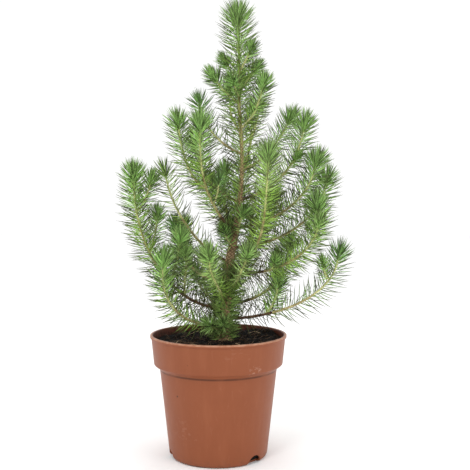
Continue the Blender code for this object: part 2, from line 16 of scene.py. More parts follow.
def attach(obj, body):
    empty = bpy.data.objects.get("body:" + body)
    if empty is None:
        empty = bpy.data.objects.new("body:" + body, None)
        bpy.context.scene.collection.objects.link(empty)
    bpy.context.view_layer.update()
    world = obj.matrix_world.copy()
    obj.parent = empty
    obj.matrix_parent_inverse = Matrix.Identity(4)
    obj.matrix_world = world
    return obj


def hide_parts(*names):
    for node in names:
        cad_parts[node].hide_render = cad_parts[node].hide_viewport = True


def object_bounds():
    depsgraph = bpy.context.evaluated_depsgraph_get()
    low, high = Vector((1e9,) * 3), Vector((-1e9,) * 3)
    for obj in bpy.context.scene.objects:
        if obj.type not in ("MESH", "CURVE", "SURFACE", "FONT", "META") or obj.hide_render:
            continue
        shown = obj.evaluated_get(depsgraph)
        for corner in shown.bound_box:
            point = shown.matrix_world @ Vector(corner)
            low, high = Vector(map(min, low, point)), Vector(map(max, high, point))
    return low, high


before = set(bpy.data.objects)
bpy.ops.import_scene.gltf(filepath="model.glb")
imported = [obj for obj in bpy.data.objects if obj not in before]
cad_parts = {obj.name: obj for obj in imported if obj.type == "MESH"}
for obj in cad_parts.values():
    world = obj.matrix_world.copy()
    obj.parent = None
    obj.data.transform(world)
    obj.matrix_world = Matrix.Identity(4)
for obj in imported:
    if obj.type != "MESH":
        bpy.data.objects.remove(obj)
cad_low, cad_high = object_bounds()

# The studio: a wide pale floor, soft white light from all round and three large lamps. The camera stands
# level with the tree and looks along +Y. Its lens and film are in millimetres, and the photograph's width
# and its shift are in pixels.
FLOOR_REACH = 6
FLOOR_WHITE, FLOOR_ROUGHNESS = (0.97, 0.97, 0.97, 1), 0.9
CAMERA_PLACE = (0.0158, -0.735, 0.235)
LENS_LENGTH, FILM_WIDTH = 58.9, 36
PHOTO_WIDTH, PHOTO_SHIFT = 470, -28
AIR_COLOUR, AIR_STRENGTH = (1, 1, 1, 1), 1.04
LAMPS = (
    ("key_lamp", (-0.6, -1.2, 1.3), 0.5, 6.4),
    ("fill_lamp", (1.3, -1.0, 0.7), 0.9, 5),
    ("top_lamp", (0.1, 0.3, 1.7), 0.7, 4),
)
LAMP_AIM = (0, 0, 0.2)


def put_in(name, data):
    """A new object in the scene."""
    thing = bpy.data.objects.new(name, data)
    bpy.context.scene.collection.objects.link(thing)
    return thing


floor_shape = bpy.data.meshes.new("floor")
floor_corners = [(x * FLOOR_REACH, y * FLOOR_REACH, 0) for x, y in ((-1, -1), (1, -1), (1, 1), (-1, 1))]
floor_shape.from_pydata(floor_corners, [], [(0, 1, 2, 3)])
floor = put_in("floor", floor_shape)
white_paper = bpy.data.materials.new("white_paper")
white_paper.use_nodes = True
paper_shader = white_paper.node_tree.nodes["Principled BSDF"]
paper_shader.inputs["Base Color"].default_value = FLOOR_WHITE
paper_shader.inputs["Roughness"].default_value = FLOOR_ROUGHNESS
floor_shape.materials.append(white_paper)

camera = put_in("camera", bpy.data.cameras.new("camera"))
camera.data.lens, camera.data.sensor_width = LENS_LENGTH, FILM_WIDTH
camera.data.shift_y = PHOTO_SHIFT / PHOTO_WIDTH
camera.location = CAMERA_PLACE
camera.rotation_euler = (math.radians(90), 0, 0)
bpy.context.scene.camera = camera

air = bpy.data.worlds.new("air")
air.use_nodes = True
air.node_tree.nodes["Background"].inputs["Color"].default_value = AIR_COLOUR
air.node_tree.nodes["Background"].inputs["Strength"].default_value = AIR_STRENGTH
bpy.context.scene.world = air
bpy.context.scene.view_settings.view_transform = "Standard"

for lamp_name, place, width, power in LAMPS:
    lamp = put_in(lamp_name, bpy.data.lights.new(lamp_name, "AREA"))
    lamp.data.size, lamp.data.energy = width, power
    lamp.location = place
    lamp.rotation_euler = (Vector(place) - Vector(LAMP_AIM)).to_track_quat("Z", "Y").to_euler()

# The pot: a 13 cm nursery pot, injection-moulded in terracotta-coloured polypropylene with a satin skin.
# It has a rolled rim, a deep collar over a tapered body, and three arched drain notches in its base edge.
# Soil has dried on its inner wall, and its outside is lightly scuffed.
POT_HEIGHT = 0.114
RIM_RADIUS = 0.065
RIM_BEAD = 0.0012
RIM_BEAD_HEIGHT = 0.0026
UNDERCUT, STEP_RISE = 0.0002, 0.0006
COLLAR_BOTTOM = 0.0865
COLLAR_BOTTOM_RADIUS = 0.0612
STEP_BOTTOM = 0.082
BODY_TOP_RADIUS = 0.0556
BODY_BOTTOM_RADIUS = 0.0462
FOOT_ROUND = 0.004
POT_WALL = 0.0014
POT_FLOOR = 0.0016
POT_STEPS, WELD = 176, 1e-6
NOTCH_AZIMUTHS = (-43, 77, 197)
NOTCH_WIDTH = 0.0165
NOTCH_HEIGHT = 0.0080
NOTCH_INNER_END = 0.0405
NOTCH_DEPTH = 0.02
NOTCH_STEPS = 96
CREASE_ANGLE = 38
PLASTIC, DARK_PLASTIC, FLOW_MARK = (0.262, 0.079, 0.033), (0.228, 0.065, 0.026), (0.300, 0.098, 0.044)
SCUFF, SCRATCH, SPECK = (0.46, 0.28, 0.20), (0.38, 0.17, 0.10), (0.05, 0.025, 0.015)
# The rim's painted highlight: its colour, and how far down from the top of the rim it reaches.
RIM_HIGHLIGHT, RIM_HIGHLIGHT_DEPTH = (0.52, 0.29, 0.19), 0.0013
FOLD_SHADE, FOLD_DROP, FOLD_REACH = (0.060, 0.020, 0.010), 0.0002, 0.0012
# The first colour is painted shade on the pot's inner wall; the dried soil on it is real.
INNER_WALL_SHADE, DRIED_SOIL, DRIED_SOIL_TOP = (0.105, 0.018, 0.007), (0.030, 0.020, 0.014), 0.112
DUST, DUST_FROM, DUST_TOP = (0.12, 0.055, 0.03), 0.001, 0.012
SCUFFED_SPOTS = (
    ((0.0335, -0.051, 0.0876), 0.0075, 1.6, 1.5),
    ((0.020, -0.060, 0.107), 0.015, 2.2, 0.15),
    ((0.0605, -0.017, 0.0975), 0.007, 1.2, 2.0),
    ((-0.0287, -0.040, 0.032), 0.017, 2.2, 0.2),
    ((-0.044, 0.044, 0.098), 0.013, 2.0, 0.7),
    ((0.038, 0.030, 0.025), 0.015, 2.2, 0.5),
)
NICK_PLACE, NICK_SIZE = (-0.0365, -0.0395, 0.0635), 0.0013


class Signal:
    """An output in a node tree. Arithmetic on it adds the nodes that work the result out."""

    def __init__(self, tree, socket):
        self.tree = tree
        self.socket = socket

    def worked(self, operation, *operands):
        is_vector = any(isinstance(one, Signal) and one.socket.type == "VECTOR" for one in operands)
        kind = "ShaderNodeVectorMath" if is_vector else "ShaderNodeMath"
        if is_vector:
            operands = [one if isinstance(one, (Signal, tuple)) else (one,) * 3 for one in operands]
        return add_node(self.tree, kind, dict(enumerate(operands)), operation=operation)

    def __add__(self, other):
        return self.worked("ADD", self, other)

    def __sub__(self, other):
        return self.worked("SUBTRACT", self, other)

    def __rsub__(self, other):
        return self.worked("SUBTRACT", other, self)

    def __mul__(self, other):
        return self.worked("MULTIPLY", self, other)

    def __truediv__(self, other):
        return self.worked("DIVIDE", self, other)

    def __pow__(self, other):
        return self.worked("POWER", self, other)

    def least(self, other):
        return self.worked("MINIMUM", self, other)

    def most(self, other):
        return self.worked("MAXIMUM", self, other)

    def above(self, limit):
        return self.worked("GREATER_THAN", self, limit)

    def below(self, limit):
        return self.worked("LESS_THAN", self, limit)

    def part(self, axis):
        return add_node(self.tree, "ShaderNodeSeparateXYZ", {"Vector": self}, axis)

    def length(self):
        return add_node(self.tree, "ShaderNodeVectorMath", {0: self}, "Value", operation="LENGTH")

    __radd__, __rmul__ = __add__, __mul__


def add_node(tree, kind, values=(), output=0, **settings):
    """Adds a node with its settings, then its sockets' values or links, and gives one of its outputs."""
    node = tree.nodes.new(kind)
    for setting, choice in settings.items():
        setattr(node, setting, choice)
    for key, value in dict(values).items():
        socket = node.inputs[key] if isinstance(key, int) else open_socket(node.inputs, key)
        if isinstance(value, Signal):
            tree.links.new(value.socket, socket)
        else:
            socket.default_value = value
    result = node.outputs[output] if isinstance(output, int) else open_socket(node.outputs, output)
    return Signal(tree, result)


def open_socket(sockets, name):
    return next(socket for socket in sockets if socket.name == name and socket.enabled)


def object_place(tree, scale=(1, 1, 1)):
    """Object coordinates, stretched along the axes."""
    place = add_node(tree, "ShaderNodeTexCoord", output="Object")
    return place * scale if scale != (1, 1, 1) else place


def grain(tree, size, detail=3.0, stretch=(1, 1, 1), rough=0.55):
    """Noise from 0 to 1 whose lumps are about as large as the size."""
    place = object_place(tree, stretch)
    values = {"Vector": place, "Scale": 1 / size, "Detail": detail, "Roughness": rough}
    return add_node(tree, "ShaderNodeTexNoise", values, "Fac")


def step_between(value, low, high):
    """0 below low and 1 above high, with a smooth rise between them."""
    values = {"Value": value, "From Min": low, "From Max": high}
    return add_node(value.tree, "ShaderNodeMapRange", values, interpolation_type="SMOOTHSTEP")


def blend(share, first, second):
    """A colour between two, each a Signal or three numbers."""
    first, second = ((*one, 1) if isinstance(one, tuple) else one for one in (first, second))
    values = {"Factor": share, "A": first, "B": second}
    return add_node(share.tree, "ShaderNodeMix", values, "Result", data_type="RGBA")


def bumped(height, depth):
    """A normal from a height of 0 to 1 that stands for a real depth."""
    values = {"Height": height, "Distance": depth, "Strength": 1.0}
    return add_node(height.tree, "ShaderNodeBump", values, "Normal")


def new_finish(name):
    finish = bpy.data.materials.new(name)
    finish.use_nodes = True
    return finish, finish.node_tree


def coat(tree, **channels):
    """Feeds the surface shader: a Signal by a link, and a plain value on the socket itself."""
    shader = tree.nodes["Principled BSDF"]
    for channel, value in channels.items():
        socket = shader.inputs[channel.replace("_", " ")]
        if isinstance(value, Signal):
            tree.links.new(value.socket, socket)
        else:
            socket.default_value = (*value, 1) if isinstance(value, tuple) else value


def placed(name, mesh, finish):
    """A finished piece at the origin, with its one material."""
    piece = put_in(name, mesh)
    mesh.materials.clear()
    mesh.materials.append(finish)
    return piece


def plain_mesh(piece):
    """The mesh that a piece's modifiers make of it."""
    return bpy.data.meshes.new_from_object(piece.evaluated_get(bpy.context.evaluated_depsgraph_get()))


def made_plain(piece):
    """Gives the piece its plain mesh, and takes its modifiers off."""
    shape = plain_mesh(piece)
    piece.modifiers.clear()
    piece.data = shape


def rounded(corners, steps=5):
    """A profile through (radius, height, rounding) corners, each cut by a short curve."""
    spots = [Vector(corner[:2]) for corner in corners]
    profile = []
    for i, (corner, spot) in enumerate(zip(corners, spots)):
        if corner[2] == 0:
            profile.append(spot)
            continue
        before = spot + (spots[i - 1] - spot).normalized() * corner[2]
        after = spot + (spots[i + 1] - spot).normalized() * corner[2]
        for k in range(steps + 1):
            t = k / steps
            profile.append(before.lerp(spot, t).lerp(spot.lerp(after, t), t))
    return profile


def body_radius(height):
    return BODY_BOTTOM_RADIUS + (BODY_TOP_RADIUS - BODY_BOTTOM_RADIUS) * height / STEP_BOTTOM


pot_corners = (
    (0, POT_FLOOR, 0),
    (body_radius(POT_FLOOR) - POT_WALL, POT_FLOOR, 0.003),
    (body_radius(STEP_BOTTOM) - POT_WALL, STEP_BOTTOM + POT_WALL, 0.001),
    (COLLAR_BOTTOM_RADIUS - POT_WALL, COLLAR_BOTTOM + POT_WALL, 0.001),
    (RIM_RADIUS - RIM_BEAD - POT_WALL, POT_HEIGHT, 0.0006),
    (RIM_RADIUS, POT_HEIGHT, 0.0009),
    (RIM_RADIUS, POT_HEIGHT - RIM_BEAD_HEIGHT, 0.0006),
    (RIM_RADIUS - RIM_BEAD, POT_HEIGHT - RIM_BEAD_HEIGHT - UNDERCUT, 0.0004),
    (COLLAR_BOTTOM_RADIUS, COLLAR_BOTTOM, 0.0009),
    (BODY_TOP_RADIUS + UNDERCUT, STEP_BOTTOM + STEP_RISE, 0.0010),
    (BODY_BOTTOM_RADIUS, 0, FOOT_ROUND),
    (0, 0, 0),
)
pot_profile = rounded(pot_corners)
pot_shape = bpy.data.meshes.new("pot_shell")
pot_shape.from_pydata(
    [(r, 0, z) for r, z in pot_profile], [(i, i + 1) for i in range(len(pot_profile) - 1)], []
)
moulded_plastic, tree = new_finish("moulded_plastic")
pot = placed("pot_shell", pot_shape, moulded_plastic)
turn = pot.modifiers.new("turn", "SCREW")
turn.steps = turn.render_steps = POT_STEPS
turn.use_merge_vertices, turn.merge_threshold = True, WELD
made_plain(pot)
arch_radius = (NOTCH_WIDTH**2 / 4 + NOTCH_HEIGHT**2) / (2 * NOTCH_HEIGHT)
for azimuth in NOTCH_AZIMUTHS:
    bpy.ops.mesh.primitive_cylinder_add(vertices=NOTCH_STEPS, radius=arch_radius, depth=NOTCH_DEPTH)
    notch = bpy.context.object
    notch.matrix_world = (
        Matrix.Rotation(math.radians(azimuth), 4, "Z")
        @ Matrix.Translation((NOTCH_INNER_END + NOTCH_DEPTH / 2, 0, NOTCH_HEIGHT - arch_radius))
        @ Matrix.Rotation(math.radians(90), 4, "Y")
    )
    cut = pot.modifiers.new("notch", "BOOLEAN")
    cut.operation, cut.solver, cut.object = "DIFFERENCE", "EXACT", notch
    made_plain(pot)
    bpy.data.objects.remove(notch, do_unlink=True)
shell = bmesh.new()
shell.from_mesh(pot.data)
bmesh.ops.recalc_face_normals(shell, faces=shell.faces)
shell.to_mesh(pot.data)
shell.free()
pot.data.shade_smooth()
pot.data.set_sharp_from_angle(angle=math.radians(CREASE_ANGLE))


def patch_at(place, spot, reach, ragged=0.0):
    """1 at a spot on the pot, fading to 0 at its reach, with an outline as ragged as is asked for."""
    away = add_node(place.tree, "ShaderNodeVectorMath", {0: place, 1: spot}, "Value", operation="DISTANCE")
    if ragged:
        away = away + (grain(place.tree, reach * 0.7, 3, (1, 1, 1.8)) - 0.5) * (reach * ragged)
    return 1 - step_between(away, reach * 0.2, reach)


place = object_place(tree)
height, from_axis = place.part("Z"), (place * (1, 1, 0)).length()
flow = grain(tree, 0.012, 3, (1, 1, 0.14))
chalk = step_between(grain(tree, 0.0052, 3, (1.0, 1.0, 1.6)), 0.54, 0.62)
scratches = step_between(grain(tree, 0.0016, 2, (1, 1, 0.12)), 0.63, 0.72)
specks = add_node(tree, "ShaderNodeTexVoronoi", {"Vector": place, "Scale": 70.0}, "Distance")
scuffed = sum(
    patch_at(place, spot, reach, ragged) * strength for spot, reach, ragged, strength in SCUFFED_SPOTS
).least(1)
# A painted highlight lightens the top of the rim all round, with a little noise in it.
rim_highlight = 0.3 + step_between(grain(tree, 0.004, 3), 0.35, 0.65) * 0.35
rim_highlight = rim_highlight * height.above(POT_HEIGHT - RIM_HIGHLIGHT_DEPTH)
off_fold, off_wall = height - STEP_BOTTOM + FOLD_DROP, from_axis - BODY_TOP_RADIUS
crease = 1 - step_between(off_fold.most(off_fold * -1), 0.0003, 0.0013)
crease = crease * off_wall.below(FOLD_REACH) * off_wall.above(-FOLD_REACH)
crease = crease * (0.35 + step_between(grain(tree, 0.02, 2), 0.40, 0.60) * 0.40)
collar_slope = (RIM_RADIUS - RIM_BEAD - COLLAR_BOTTOM_RADIUS) / (POT_HEIGHT - COLLAR_BOTTOM)
collar_radius = COLLAR_BOTTOM_RADIUS + (height - COLLAR_BOTTOM) * collar_slope
# The inside of the collar above the soil: painted shade darkens it, and dried soil lies on it.
inside = (collar_radius - from_axis).above(POT_WALL / 2) * height.above(COLLAR_BOTTOM + POT_WALL)
dried_soil = inside * step_between(grain(tree, 0.004, 5) + (DRIED_SOIL_TOP - height) * 60, 0.45, 0.85)
foot_dust = 1 - step_between(height, DUST_FROM, DUST_TOP)
foot_dust = foot_dust * step_between(grain(tree, 0.003, 4), 0.40, 0.75)
plastic_colour = blend(grain(tree, 0.022, 4), PLASTIC, DARK_PLASTIC)
for share, colour in (
    (step_between(flow, 0.45, 0.75) * 0.35, FLOW_MARK),
    (scuffed * chalk * 0.55, SCUFF),
    (scratches * 0.10, SCRATCH),
    ((1 - step_between(specks, 0.015, 0.035)) * 0.75, SPECK),
    (patch_at(place, NICK_PLACE, NICK_SIZE), SPECK),
    (rim_highlight, RIM_HIGHLIGHT),
    (crease, FOLD_SHADE),
    (inside * 0.75, INNER_WALL_SHADE),
    (dried_soil * 0.8, DRIED_SOIL),
    (foot_dust * 0.35, DUST),
):
    plastic_colour = blend(share, plastic_colour, colour)
coat(
    tree,
    Base_Color=plastic_colour,
    Roughness=(0.36 + grain(tree, 0.006, 4) * 0.16 + scuffed * chalk * 0.2 + dried_soil * 0.3).least(1),
    Normal=bumped(grain(tree, 0.0009, 2) * 0.4 + flow * 0.6 + chalk * scuffed, 0.00012),
    Specular_IOR_Level=0.20,
)
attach(pot, "root")
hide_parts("pot")

# The soil: moist peat, near black, pressed in to just below the rim. Its top is crumbly, with loose lumps
# of peat, brown fibres, and a few pale dry needles and root strands lying on it.
SOIL_LEVEL = 0.108
SOIL_RADIUS = 0.0612
SOIL_BOTTOM = 0.0022
SOIL_SIDE = ((SOIL_RADIUS, 0.100), (0.0538, 0.083), (0.0443, 0.004), (0.0420, SOIL_BOTTOM))
SOIL_RINGS, SOIL_SPOKES = 118, 300
TRUNK_FOOT = (0.005, 0.0)
LUMP_WIDTH, LUMP_HEIGHT, LUMPS_FROM, LUMPS_EASE = 0.011, 0.0016, 0.010, 0.012
CRUMB_WIDTH, CRUMB_HEIGHT, CRUMBS_FROM, CRUMBS_EASE = 0.0034, 0.00075, 0.004, 0.005
EDGE_FROM, EDGE_WIDTH, EDGE_DROP = 0.054, 0.008, 0.0012
HEAP_PLACE, HEAP_HEIGHT, HEAP_REACH = (0.044, 0.032), 0.0042, 0.021
WET_PEAT, BROWN_PEAT, PEAT_FIBRE = (0.0016, 0.0012, 0.0010), (0.0085, 0.0062, 0.0042), (0.11, 0.066, 0.036)
DARK_CRUMB, BROWN_CRUMB = (0.0050, 0.0036, 0.0026), (0.034, 0.021, 0.013)
ANY_RADIANS = (6.28, 6.28, 6.28)


def soil_height(x, y):
    """The height of the soil's top, which is flat at the trunk's foot and a little low along the wall."""
    away = math.hypot(x - TRUNK_FOOT[0], y - TRUNK_FOOT[1])
    spot = Vector((x, y, 0))
    broad = noise.noise(spot / LUMP_WIDTH) * min(1, max(0, away - LUMPS_FROM) / LUMPS_EASE)
    fine = noise.fractal(spot / CRUMB_WIDTH, 0.7, 2.0, 4) * CRUMB_HEIGHT
    edge = max(0, math.hypot(x, y) - EDGE_FROM) / EDGE_WIDTH
    heap = HEAP_HEIGHT * math.exp(-((x - HEAP_PLACE[0]) ** 2 + (y - HEAP_PLACE[1]) ** 2) / HEAP_REACH**2)
    lumps = LUMP_HEIGHT * broad + fine * min(1, max(0, away - CRUMBS_FROM) / CRUMBS_EASE)
    return SOIL_LEVEL + heap * (1 + broad * 0.5) + lumps - EDGE_DROP * edge**2


def ring_spots(radius):
    """The (x, y) of a ring of the soil's points, one on each spoke."""
    angles = [2 * math.pi * k / SOIL_SPOKES for k in range(SOIL_SPOKES)]
    return [(radius * math.cos(angle), radius * math.sin(angle)) for angle in angles]


soil_points = [(0, 0, soil_height(0, 0))]
for i in range(1, SOIL_RINGS + 1):
    soil_points += [(x, y, soil_height(x, y)) for x, y in ring_spots(SOIL_RADIUS * i / SOIL_RINGS)]
top_points = len(soil_points)
for radius, low in SOIL_SIDE:
    soil_points += [(x, y, low) for x, y in ring_spots(radius)]
soil_points.append((0, 0, SOIL_BOTTOM))
ring_count = SOIL_RINGS + len(SOIL_SIDE)
soil_faces = []
for k in range(SOIL_SPOKES):
    after = (k + 1) % SOIL_SPOKES
    soil_faces.append((0, 1 + k, 1 + after))
    for i in range(ring_count - 1):
        near, far = 1 + i * SOIL_SPOKES, 1 + (i + 1) * SOIL_SPOKES
        soil_faces.append((near + k, far + k, far + after, near + after))
    last = 1 + (ring_count - 1) * SOIL_SPOKES
    soil_faces.append((last + after, last + k, len(soil_points) - 1))
soil_shape = bpy.data.meshes.new("peat")
soil_shape.from_pydata(soil_points, [], soil_faces)
soil_shape.shade_smooth()
moist_peat, tree = new_finish("moist_peat")
peat_grain = grain(tree, 0.0016, 6, rough=0.65)
peat_colour = blend(step_between(peat_grain, 0.35, 0.72), WET_PEAT, BROWN_PEAT)
fibre_marks = step_between(grain(tree, 0.0012, 3, (1, 0.25, 1)), 0.66, 0.74)
peat_colour = blend(fibre_marks * 0.6, peat_colour, PEAT_FIBRE)
coat(
    tree,
    Base_Color=peat_colour,
    Roughness=0.86 + grain(tree, 0.003, 3) * 0.14,
    Normal=bumped(peat_grain + grain(tree, 0.0006, 3) * 0.4, 0.0011),
    Specular_IOR_Level=0.16,
)
peat = placed("peat", soil_shape, moist_peat)
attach(peat, "root")
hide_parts("soil")


def new_tree(name, sizes, others=()):
    """A geometry tree and its inputs by name: a Shape, the sizes, others by kind, and a Finish."""
    tree = bpy.data.node_groups.new(name, "GeometryNodeTree")
    tree.interface.new_socket("Shape", in_out="INPUT", socket_type="NodeSocketGeometry")
    for label, kind in {**dict.fromkeys(sizes, "Float"), **dict(others), "Finish": "Material"}.items():
        tree.interface.new_socket(label, in_out="INPUT", socket_type="NodeSocket" + kind)
    tree.interface.new_socket("Shape", in_out="OUTPUT", socket_type="NodeSocketGeometry")
    entry = tree.nodes.new("NodeGroupInput")
    return tree, {socket.name: Signal(tree, socket) for socket in entry.outputs if socket.name}


def close_tree(tree, shape, finish):
    """Ends a tree in Realize Instances and Set Material."""
    whole = add_node(tree, "GeometryNodeRealizeInstances", {"Geometry": shape})
    whole = add_node(tree, "GeometryNodeSetMaterial", {"Geometry": whole, "Material": finish})
    leave = tree.nodes.new("NodeGroupOutput")
    tree.links.new(whole.socket, leave.inputs["Shape"])


def grown(name, data, tree, finish, **sizes):
    """The plain mesh piece that a tree makes of a mesh or curve with the given sizes."""
    source = put_in(name + "_source", data)
    change = source.modifiers.new("grow", "NODES")
    change.node_group = tree
    values = {**sizes, "Finish": finish}
    for socket in tree.interface.items_tree:
        if socket.name in values:
            change[socket.identifier] = values[socket.name]
    mesh = plain_mesh(source)
    mesh.name = name
    bpy.data.objects.remove(source, do_unlink=True)
    return placed(name, mesh, finish)


def vary(tree, low, high, seed, vector=False):
    """A seeded random value, or three of them, for each point or instance."""
    kind = "FLOAT_VECTOR" if vector else "FLOAT"
    values = {"Min": low, "Max": high, "Seed": seed}
    return add_node(tree, "FunctionNodeRandomValue", values, "Value", data_type=kind)


tree, given = new_tree("scattered_crumbs", ("Density", "Least", "Greatest", "Reach"))
spot = add_node(tree, "GeometryNodeInputPosition")
within = (spot * (1, 1, 0)).length().below(given["Reach"])
scattered = add_node(
    tree, "GeometryNodeDistributePointsOnFaces",
    {"Mesh": given["Shape"], "Selection": within, "Density": given["Density"], "Seed": 7},
    "Points", distribute_method="RANDOM",
)
# Each crumb is a ball whose points are pushed along one diagonal by the noise's grey.
ball = add_node(tree, "GeometryNodeMeshIcoSphere", {"Radius": 1.0, "Subdivisions": 2}, "Mesh")
lumpy = add_node(tree, "ShaderNodeTexNoise", {"Vector": spot, "Scale": 1.6, "Detail": 2.0}, "Color")
ball = add_node(tree, "GeometryNodeSetPosition", {"Geometry": ball, "Offset": (lumpy - 0.5) * 1.1})
turned = vary(tree, (0, 0, 0), ANY_RADIANS, 3, True)
size = given["Least"] + (given["Greatest"] - given["Least"]) * vary(tree, 0.0, 1.0, 4) ** 3.0
size = vary(tree, (0.6, 0.6, 0.5), (1.2, 1.2, 0.9), 5, True) * size
crumbs = add_node(
    tree, "GeometryNodeInstanceOnPoints",
    {"Points": scattered, "Instance": ball, "Rotation": turned, "Scale": size}, "Instances",
)
close_tree(tree, crumbs, given["Finish"])
crumb_tree = tree
dry_peat, tree = new_finish("crumbled_peat")
crumb_tone = grain(tree, 0.0045, 4)
coat(
    tree, Base_Color=blend(step_between(crumb_tone, 0.35, 0.68), DARK_CRUMB, BROWN_CRUMB), Roughness=0.9,
    Normal=bumped(grain(tree, 0.0005, 3), 0.0003), Specular_IOR_Level=0.15,
)
top_only = bpy.data.meshes.new("peat_top")
top_only.from_pydata(soil_points[:top_points], [], [face for face in soil_faces if max(face) < top_points])
crumbs = grown(
    "peat_crumbs", top_only, crumb_tree, dry_peat,
    Density=9.0e4, Least=0.00028, Greatest=0.0021, Reach=0.0595,
)
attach(crumbs, "root")

# Strands on the soil: brown peat fibres, and a few pale dry needles and root ends, each a thin bent
# thread that lies where it fell.
STRANDS, STRANDS_REACH, STRAND_STEPS, STRAND_SEED = 150, 0.057, 7, 4
FIBRE_LENGTHS, FIBRE_THICKNESSES = (0.004, 0.014), (0.00010, 0.00022)
STRAND_LIFT, STRAND_ARCH = 0.0005, 0.0011
WALL_CLEARANCE, BACK_SHARE, BACK_RADIANS = 0.0035, 0.96, 0.8
PALE_THICKNESS = 0.00038
PALE_STRANDS = ((-0.032, -0.036, 20, 0.021), (-0.021, -0.041, 165, 0.016), (-0.012, -0.047, 12, 0.013),
                (0.028, -0.037, 160, 0.018), (0.036, -0.030, 35, 0.012), (-0.040, -0.020, 70, 0.014),
                (0.012, 0.044, 100, 0.020), (-0.030, 0.032, 40, 0.018), (0.041, 0.018, 130, 0.015))


def thread_curves(name, threads):
    """A curve object's data with one poly spline for each list of (place, radius)."""
    data = bpy.data.curves.new(name, "CURVE")
    data.dimensions = "3D"
    for thread in threads:
        line = data.splines.new("POLY")
        line.points.add(len(thread) - 1)
        for point, (place, radius) in zip(line.points, thread):
            point.co = (*place, 1)
            point.radius = radius
    return data


def lying_strand(x, y, azimuth, length, thickness, draw):
    """A strand on the soil's top that bends as it lies, and turns back from the pot's wall."""
    strand, heading, bend = [], math.radians(azimuth), draw.uniform(-0.30, 0.30)
    for k in range(STRAND_STEPS + 1):
        lift = STRAND_LIFT + STRAND_ARCH * math.sin(math.pi * k / STRAND_STEPS) * draw.uniform(0.4, 1)
        if math.hypot(x, y) > SOIL_RADIUS - WALL_CLEARANCE:
            x, y, heading = x * BACK_SHARE, y * BACK_SHARE, heading + BACK_RADIANS
        share = 0.5 if k in (0, STRAND_STEPS) else 1
        strand.append(((x, y, soil_height(x, y) + lift), thickness * share))
        x, y = x + math.cos(heading) * length / STRAND_STEPS, y + math.sin(heading) * length / STRAND_STEPS
        heading += bend * draw.uniform(0.3, 1.2)
    return strand


def swept(tree, rail, sides):
    """A closed and smooth tube along a rail, as thick as the rail's own radius."""
    ring = add_node(tree, "GeometryNodeCurvePrimitiveCircle", {"Resolution": sides, "Radius": 1.0}, "Curve")
    own_radius = add_node(tree, "GeometryNodeInputRadius")
    values = {"Curve": rail, "Profile Curve": ring, "Scale": own_radius, "Fill Caps": True}
    tube = add_node(tree, "GeometryNodeCurveToMesh", values)
    return add_node(tree, "GeometryNodeSetShadeSmooth", {"Geometry": tube})


tree, given = new_tree("rough_threads", ("Spacing", "Roughness"), {"Sides": "Int"})
values = {"Curve": given["Shape"], "Length": given["Spacing"]}
tube = swept(tree, add_node(tree, "GeometryNodeResampleCurve", values, mode="LENGTH"), given["Sides"])
values = {"Vector": add_node(tree, "GeometryNodeInputPosition"), "Scale": 700.0, "Detail": 3.0}
rough = add_node(tree, "ShaderNodeTexNoise", values, "Fac")
swollen = add_node(tree, "GeometryNodeInputNormal") * ((rough - 0.5) * given["Roughness"])
tube = add_node(tree, "GeometryNodeSetPosition", {"Geometry": tube, "Offset": swollen})
close_tree(tree, tube, given["Finish"])
thread_tree = tree

draw = random.Random(STRAND_SEED)
brown_threads, pale_threads = [], []
for _ in range(STRANDS):
    radius, angle = STRANDS_REACH * math.sqrt(draw.random()), draw.uniform(0, 2 * math.pi)
    brown_threads.append(lying_strand(
        radius * math.cos(angle), radius * math.sin(angle), draw.uniform(0, 360),
        draw.uniform(*FIBRE_LENGTHS), draw.uniform(*FIBRE_THICKNESSES), draw,
    ))
for x, y, azimuth, length in PALE_STRANDS:
    pale_threads.append(lying_strand(x, y, azimuth, length, PALE_THICKNESS, draw))
for thread_name, threads, light, dark in (
    ("peat_fibres", brown_threads, (0.16, 0.088, 0.045), (0.055, 0.030, 0.016)),
    ("dry_strands", pale_threads, (0.46, 0.34, 0.22), (0.25, 0.155, 0.085)),
):
    dry_fibre, tree = new_finish(thread_name + "_dry")
    coat(
        tree, Base_Color=blend(grain(tree, 0.004, 3), light, dark), Roughness=0.8,
        Normal=bumped(grain(tree, 0.0007, 2), 0.0001),
    )
    strands = grown(
        thread_name, thread_curves(thread_name, threads), thread_tree, dry_fibre,
        Spacing=0.0012, Sides=5, Roughness=0.0,
    )
    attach(strands, "root")

# The trunk: one tapering, slightly bent stem from its root flare at the soil to the leader's bud. Its bark
# is brown and rough with the diamond-shaped scales that fallen needles leave in spirals, and turns tan and
# then yellow-green in the youngest growth. Its stations give height, x, y and radius.
TRUNK_STATIONS = (
    (0.1080, 0.0050, 0.0000, 0.0078),
    (0.1125, 0.0052, 0.0000, 0.0062),
    (0.1300, 0.0062, 0.0004, 0.0054),
    (0.1800, 0.0102, 0.0016, 0.0047),
    (0.2130, 0.0166, 0.0020, 0.0035),
    (0.2420, 0.0209, 0.0012, 0.0024),
    (0.2900, 0.0222, -0.0010, 0.0018),
    (0.3350, 0.0196, -0.0010, 0.0015),
    (0.3750, 0.0200, 0.0004, 0.0012),
    (0.4075, 0.0187, 0.0006, 0.0010),
)
BARK_SIDES, BARK_STEP, BARK_UNDER_SOIL = 72, 0.00042, 0.0002
SCALE_WIDTH, SCALE_HEIGHT, SCALE_DEPTH = 0.0021, 0.0034, 0.00042
SCALE_SHARE, DEEP_SCALE_RADIUS = 0.62, 0.0045
SECOND_SPIRAL, SCALE_TILT = 1.27, 0.45
CRACK_SIZE, CRACK_DEPTH = 0.0035, 0.00012
FLARE_HEIGHT, FLARE_RIDGE = 0.007, 0.0011
OLD_BARK_CRACK, OLD_BARK_SCALE = (0.062, 0.032, 0.015), (0.560, 0.370, 0.200)
OLD_BARK_MOTTLE = (0.330, 0.215, 0.120)
